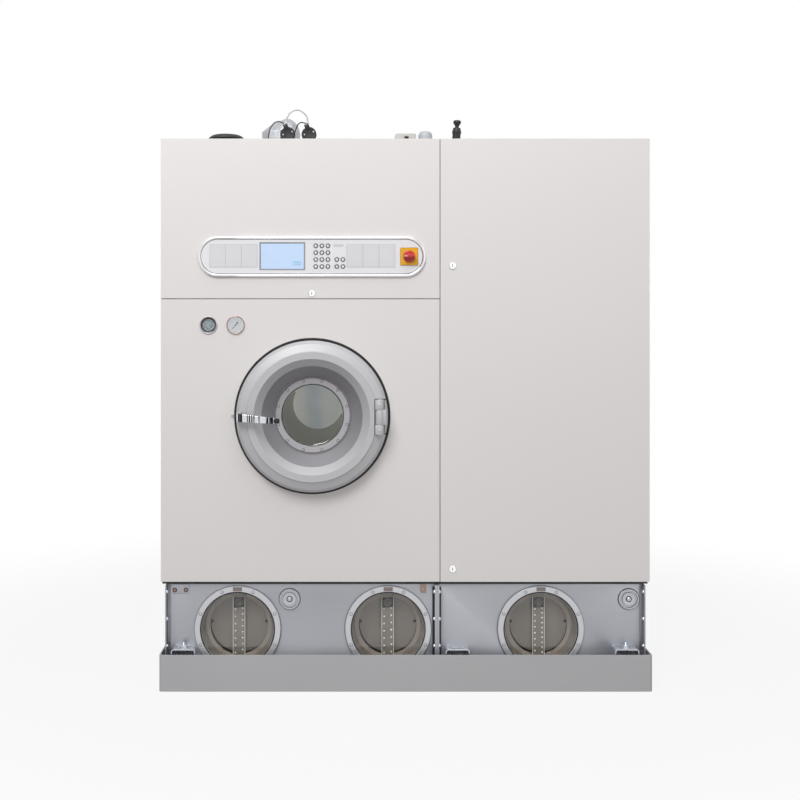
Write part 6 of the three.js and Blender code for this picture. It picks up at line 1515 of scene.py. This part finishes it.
# Drum: a turned stainless cage with a rolled mouth, a polished hub disc with painted reflections and a
# painted glow, and three lifters
drum = {"radius": 0.43, "wall": 0.003, "mouth": 0.196, "hub": 0.108, "front": -0.602, "back": 0.102,
        "lifters": 3, "lifterHeight": 0.09, "lifterWidth": 0.08, "start": 90}


def makeDrum():
    d = drum
    r, mouth, front, back = d["radius"] - 0.0008, d["mouth"] + 0.0006, d["front"] + 0.0004, d["back"] - 0.0004
    centre = (drumX, 0, drumZ)
    cage = turned(centre, [
        (0.03, back - d["wall"]), (r - 0.016, back - d["wall"]), (r - 0.006, back - 0.0065),
        (r - d["wall"], back - 0.013), (r - d["wall"], front + 0.013), (r - 0.006, front + 0.0065),
        (r - 0.014, front + d["wall"]), (mouth + 0.004, front + d["wall"]), (mouth, front + 0.0022),
        (mouth, front + 0.0012), (mouth + 0.003, front), (r - 0.01, front), (r - 0.002, front + 0.006),
        (r, front + 0.014), (r, back - 0.014), (r - 0.002, back - 0.006), (r - 0.01, back), (0.03, back),
    ], "Y", 144)
    done(smooth(cage, 40), "drumCage", "perforated", "drum_cage")
    hub = turned(centre, [
        (0.004, back - 0.0128), (0.03, back - 0.0128), (0.034, back - 0.0122), (0.075, back - 0.01),
        (d["hub"] - 0.004, back - 0.009), (d["hub"], back - 0.0075), (d["hub"], back - 0.0029),
        (0.004, back - 0.0029),
    ], "Y", 96)
    screws = [makeScrew((drumX + x, back - 0.0098, drumZ + z), 0.0055, 0.0016) for x,
              z in around(6, 0.088, 30)]
    extra(smooth(merge(hub, *screws), 30), "drumHub", "hubSteel", "drum_cage")
    blades = []
    for i in range(d["lifters"]):
        low = -(r - 0.007)
        blade = block((-d["lifterWidth"] / 2 + 0.002, front + 0.006, low),
                      (d["lifterWidth"] / 2 - 0.002, back - 0.006, low + d["lifterHeight"] - 0.006))
        pick(blade, lambda centre, normal: normal.z > 0.5)
        bpy.ops.transform.resize(value=(0.3, 1, 1), center_override=(0, 0, low + d["lifterHeight"]))
        leave()
        bevel(blade, 0.008, 4, 20)
        blade.rotation_euler = (0, math.radians(d["start"] + 30 + 120 * i), 0)
        blade.location = centre
        blades.append(settle(blade))
    extra(smooth(merge(*blades), 40), "drumLifters", "stainless", "drum_cage")


makeCabinet()
eased("drip_tray", "dripTray", 0.0012, shadeAngle=12)
eased("frame", "tubeFrame", 0.0025, shadeAngle=12)
makeDrum()
eased("drum_housing", "drumHousing", 0.0012, 1)
print("cabinet, tray, frame and drum made")


# Top fittings: pressure switches with their leads and hose, vent cap, terminal box and valve
def tube(points, radius):
    # a round tube drawn along a smooth line through the points, with closed ends
    deselect()
    bpy.ops.curve.primitive_nurbs_path_add(location=(0, 0, 0))
    line = bpy.context.object
    line.data.splines.clear()
    spline = line.data.splines.new("BEZIER")
    spline.bezier_points.add(len(points) - 1)
    for corner, place in zip(spline.bezier_points, points):
        corner.co = place
        corner.handle_left_type = corner.handle_right_type = "AUTO"
    line.data.bevel_depth = radius
    line.data.bevel_resolution = 4
    line.data.resolution_u = 10
    line.data.use_fill_caps = True
    bpy.ops.object.convert(target="MESH")
    return mend(bpy.context.object)


switchDisc = {"y": -0.61, "z": 2.0766, "x": (-0.4423, -0.3614), "radius": 0.0286, "half": 0.012}


def makePressureSwitch(node, x, side):
    s = switchDisc
    y, z, r, half = s["y"], s["z"], s["radius"] - 0.0002, s["half"]
    disc = turned((x, y, z), [
        (r - 0.009, -half + 0.0006), (r - 0.008, -half + 0.0002), (r - 0.0036, -half + 0.0002),
        (r - 0.003, -half + 0.003), (r - 0.001, -half + 0.0036), (r, -half + 0.0052), (r, -0.0016),
        (r - 0.001, -0.001), (r - 0.001, 0.001), (r, 0.0016), (r, half - 0.003), (r - 0.002, half - 0.0004),
    ], "Y", 64)
    badge = turned((x + 0.001, y, z - 0.001), [(0.015, -half + 0.0014), (0.0146, -half), (0.012, -half),
                                               (0.0112, -half + 0.0008)], "Y", 48)
    foot = block((x - 0.0119, y - half + 0.0012, roofZ + 0.0003),
                 (x + 0.0119, y + half - 0.0012, z - 0.01))
    bevel(foot, 0.0015, 2)
    done(smooth(merge(disc, badge, foot), 35), f"pressureSwitch{side}", "switchBrown", node)
    socket = block((-0.0088, -0.0098, -0.011), (0.0088, 0.0098, 0.011))
    bevel(socket, 0.0012, 2)
    socket.rotation_euler = (0, math.radians(-24), 0)
    socket.location = (x - 0.0068, y - half + 0.008, z + 0.0282)
    settle(socket)
    extra(smooth(socket, 35), f"switchSocket{side}", "knobBlack", node)
    screws = [makeScrew((x + dx, y - half + 0.0006, z + dz), 0.0033, 0.0024) for dx,
              dz in ((-0.017, -0.002), (0.017, 0.009))]
    extra(merge(*screws), f"switchScrews{side}", "boltSteel", node)
    spigot = turned((x - 0.006, y, z), [
        (0.0049, 0.037), (0.0049, 0.043), (0.004, 0.0442), (0.0046, 0.0456), (0.004, 0.0472),
        (0.0046, 0.0486), (0.0036, 0.0504),
    ], "Z", 24)
    extra(smooth(spigot, 35), f"switchSpigot{side}", "hoseWhite", node)


def makeSwitches():
    s = switchDisc
    y, top = s["y"], s["z"] + s["radius"] + 0.022
    (leftX, rightX), seat = s["x"], roofZ + 0.0004
    makePressureSwitch("pressure_switch_left", leftX, "Left")
    makePressureSwitch("pressure_switch_right", rightX, "Right")
    leftLead = tube([
        (leftX - 0.014, y, top - 0.008), (leftX - 0.038, y - 0.002, top - 0.0015),
        (leftX - 0.062, y - 0.004, top - 0.02), (leftX - 0.0725, y - 0.005, top - 0.055),
        (leftX - 0.0748, y - 0.005, seat),
    ], 0.0023)
    extra(smooth(leftLead, 60), "leftLead", "leadGrey", "pressure_switch_left")
    rightLead = tube([
        (rightX - 0.012, y, top - 0.008), (rightX - 0.034, y + 0.006, top - 0.0045),
        (rightX - 0.05, y + 0.018, top - 0.026), (rightX - 0.0595, y + 0.0237, top - 0.056),
        (rightX - 0.0616, y + 0.024, seat),
    ], 0.0023)
    extra(smooth(rightLead, 60), "rightLead", "leadGrey", "pressure_switch_right")
    arch = tube([
        (leftX - 0.006, y, top - 0.006), (leftX - 0.001, y, top + 0.016), (leftX + 0.015, y, top + 0.0357),
        (leftX + 0.038, y, top + 0.0425), (leftX + 0.06, y, top + 0.0317),
        (rightX - 0.0062, y, top + 0.012), (rightX - 0.006, y, top + 0.0004),
    ], 0.0027)
    extra(smooth(arch, 60), "hoseArch", "hoseGrey", "pressure_switch_left")


vent = {"x": -0.683, "y": -0.535, "radius": 0.07, "top": 0.0396, "ribs": 32}


def makeVentCap():
    v = vent
    cap = turned((v["x"], v["y"], roofZ), [
        (v["radius"] - 0.01, 0.0004), (v["radius"] - 0.008, 0.004), (v["radius"] - 0.0078, 0.02),
        (v["radius"] - 0.0012, 0.0215), (v["radius"] - 0.0004, 0.0235), (v["radius"] - 0.0014, 0.0275),
        (v["radius"] - 0.01, 0.035), (v["radius"] - 0.018, 0.0385), (0.03, v["top"] - 0.0004),
        (0.004, v["top"]),
    ], "Z", 18)
    ribs = []
    for x, y in around(v["ribs"], v["radius"] - 0.0055):
        rib = block((-0.0012, -0.005, 0.0006), (0.0012, 0.005, 0.025))
        rib.rotation_euler = (0, 0, math.atan2(y, x) + math.pi / 2)
        rib.location = (v["x"] + x, v["y"] + y, roofZ)
        ribs.append(settle(rib))
    done(smooth(merge(bevel(cap, 0.0008, 1, 12), *ribs), 10), "ventCap", "switchBrown", "vent_cap")


box = {"x": (-0.031, 0.05), "y": (-0.535, -0.475), "rise": 0.0475, "plate": 0.003, "edge": 0.006,
       "dome": (0.087, 0.03, 0.0607)}


def makeTerminalBox():
    b = box
    (x0, x1), (y0, y1) = b["x"], b["y"]
    domeX, domeR, domeTop = b["dome"]
    seat, z0 = roofZ + 0.0004, roofZ + b["plate"] + 0.0002
    plate = block((x0 - b["edge"] + 0.0002, y0 - b["edge"] + 0.0002, seat),
                  (domeX + domeR + b["edge"] - 0.0002, y1 + b["edge"] - 0.0002, z0))
    bevel(plate, 0.0008, 2)
    body = block((x0, y0, z0 - 0.0005), (x1, y1, roofZ + b["rise"]))
    pick(body, lambda a, c: abs(a.y - c.y) > 0.01 and a.z > roofZ + 0.04, "EDGE")
    bpy.ops.mesh.bevel(offset=0.007, segments=6, affect="EDGES")
    leave()
    middle = (x0 + x1) / 2
    carve(body, block((middle - 0.0048, y0 - 0.002, z0 + 0.0202),
                      (middle + 0.0118, y0 + 0.0078, z0 + 0.0338)))
    bevel(body, 0.0008, 2, 40)
    screws = [makeScrew((x, y0 + 0.0004, z0 + 0.008), 0.0026, 0.0003) for x in (x0 + 0.007, x1 - 0.007)]
    done(smooth(merge(plate, body, *screws), 35), "terminalBox", "terminalBeige", "terminal_box")
    # painted shade: a dark fill at the back of the slot
    slot = block((middle - 0.0046, y0 + 0.006, z0 + 0.0204), (middle + 0.0116, y0 + 0.0079, z0 + 0.0336))
    extra(slot, "terminalSlot", "deepBlack", "terminal_box")
    dome = turned((domeX, (y0 + y1) / 2, roofZ), [
        (domeR - 0.0006, b["plate"] - 0.0004), (domeR - 0.0006, 0.012), (domeR - 0.003, 0.0132),
        (domeR - 0.003, 0.04), (domeR - 0.004, 0.048), (domeR - 0.0072, 0.0545), (domeR - 0.013, 0.0588),
        (domeR - 0.021, domeTop - 0.0004), (0.003, domeTop - 0.0002),
    ], "Z", 64)
    extra(smooth(dome, 40), "terminalDome", "domeGrey", "terminal_box")


valve = {"x": 0.206, "y": -0.505, "rise": 0.0735, "lean": 3}


def leaning(profile, segments):
    piece = turned((0, 0, 0), profile, "Z", segments)
    piece.rotation_euler = (0, math.radians(valve["lean"]), 0)
    piece.location = (valve["x"], valve["y"], roofZ + 0.0003)
    return settle(piece)


def makeValve():
    high = valve["rise"]
    flange = turned((valve["x"], valve["y"], roofZ),
                    [(0.0268, 0.0004), (0.0268, 0.003), (0.0258, 0.004), (0.019, 0.004)], "Z", 48)
    body = leaning([
        (0.0175, 0.0024), (0.0175, 0.012), (0.016, 0.0135), (0.016, 0.05), (0.0178, 0.052), (0.0178, 0.06),
        (0.0165, 0.0615), (0.015, high - 0.002), (0.0138, high - 0.0006),
    ], 48)
    carve(body, leaning([(0.009, high - 0.024), (0.009, high + 0.002)], 32))
    done(smooth(merge(flange, body), 35), "valveBody", "valveGrey", "valve_body")
    grip = leaning([
        (0.0077, high - 0.0235), (0.0077, high + 0.005), (0.0082, high + 0.008), (0.0122, high + 0.014),
        (0.015, high + 0.019), (0.0154, high + 0.0225), (0.015, high + 0.0255), (0.013, high + 0.0282),
        (0.009, high + 0.0296), (0.003, high + 0.0299),
    ], 48)
    done(smooth(grip, 40), "valveKnob", "knobBlack", "valve_knob")


makeSwitches()
makeVentCap()
makeTerminalBox()
makeValve()
print("top fittings made")


# Machinery behind the panels: air unit, motor, pulleys, belt and the two vessels
machinery = {"drum_pulley": ("drumPulley", 0.0015), "motor_pulley": ("motorPulley", 0.0012),
             "drive_belt": ("driveBelt", 0.0015), "drive_motor": ("driveMotor", 0.0015),
             "still_vessel": ("stillVessel", 0.0015), "filter_vessel": ("filterVessel", 0.0015)}

eased("air_unit", "airUnit", 0.001, 2, 20, 15)
for node, (name, width) in machinery.items():
    eased(node, name, width)
print("machinery made")


# Studio: a pale floor, soft lamps and a white background that also shows in metal and glass
studio = {"floor": (182, 180, 179), "world": 0.26, "key": (-1.8, -4.7, 5.2), "keyPower": 196,
          "fill": (3.6, -4.8, 2.4), "fillPower": 26, "top": (0.2, -2.2, 5.6), "topPower": 62, "near": 1.4,
          "far": 3.4, "haze": 0.9}


def seenByEyes(tree):
    # one for what the camera sees, straight, in a reflection or through glass
    path = tree.nodes.new("ShaderNodeLightPath")
    seen = mathNode(tree, "MAXIMUM", path.outputs["Is Camera Ray"], path.outputs["Is Glossy Ray"])
    return mathNode(tree, "MAXIMUM", seen, path.outputs["Is Transmission Ray"])


def makeWorld():
    world = bpy.data.worlds.new("studio")
    bpy.context.scene.world = world
    world.use_nodes = True
    tree = world.node_tree
    background = tree.nodes["Background"]
    background.inputs["Color"].default_value = (1, 1, 1, 1)
    seen = seenByEyes(tree)
    strength = mathNode(tree, "MULTIPLY_ADD", seen, 1 - studio["world"], studio["world"])
    link(tree, strength, background.inputs["Strength"])


def makeFloor():
    deselect()
    bpy.ops.mesh.primitive_plane_add(size=60, location=(0, 0, -0.0005))
    floor = settle(bpy.context.object)
    floor.name = "studioFloor"
    made = bpy.data.materials.new("studioFloor")
    made.use_nodes = True
    tree = made.node_tree
    shader = tree.nodes["Principled BSDF"]
    shader.inputs["Base Color"].default_value = colour(*studio["floor"])
    shader.inputs["Roughness"].default_value = 0.9
    shader.inputs["Specular IOR Level"].default_value = 0.1
    white = tree.nodes.new("ShaderNodeEmission")
    place = tree.nodes.new("ShaderNodeTexCoord").outputs["Object"]
    length = addNode(tree, "ShaderNodeVectorMath", {"operation": "LENGTH"}, place)
    fade = tree.nodes.new("ShaderNodeMapRange")
    fade.interpolation_type = "SMOOTHSTEP"
    fade.inputs["From Min"].default_value = studio["near"]
    fade.inputs["From Max"].default_value = studio["far"]
    fade.inputs["To Min"].default_value = studio["haze"]
    link(tree, length.outputs["Value"], fade.inputs["Value"])
    giveSurface(tree, mathNode(tree, "MULTIPLY", seenByEyes(tree), fade.outputs[0]), shader, white)
    floor.data.materials.append(made)


def makeLamp(name, place, size, power, target):
    bpy.ops.object.light_add(type="AREA", location=place)
    lamp = bpy.context.object
    lamp.name = name
    lamp.data.shape = "SQUARE"
    lamp.data.size = size
    lamp.data.energy = power
    direction = Vector(target) - Vector(place)
    lamp.rotation_euler = direction.to_track_quat("-Z", "Y").to_euler()


makeWorld()
makeFloor()
makeLamp("keyLamp", studio["key"], 2.6, studio["keyPower"], (-0.2, -0.7, 1.1))
makeLamp("fillLamp", studio["fill"], 3.0, studio["fillPower"], (0.2, -0.7, 0.9))
makeLamp("topLamp", studio["top"], 3.0, studio["topPower"], (0, -0.4, 1.4))
bpy.context.scene.view_settings.view_transform = "Standard"
print("studio made")
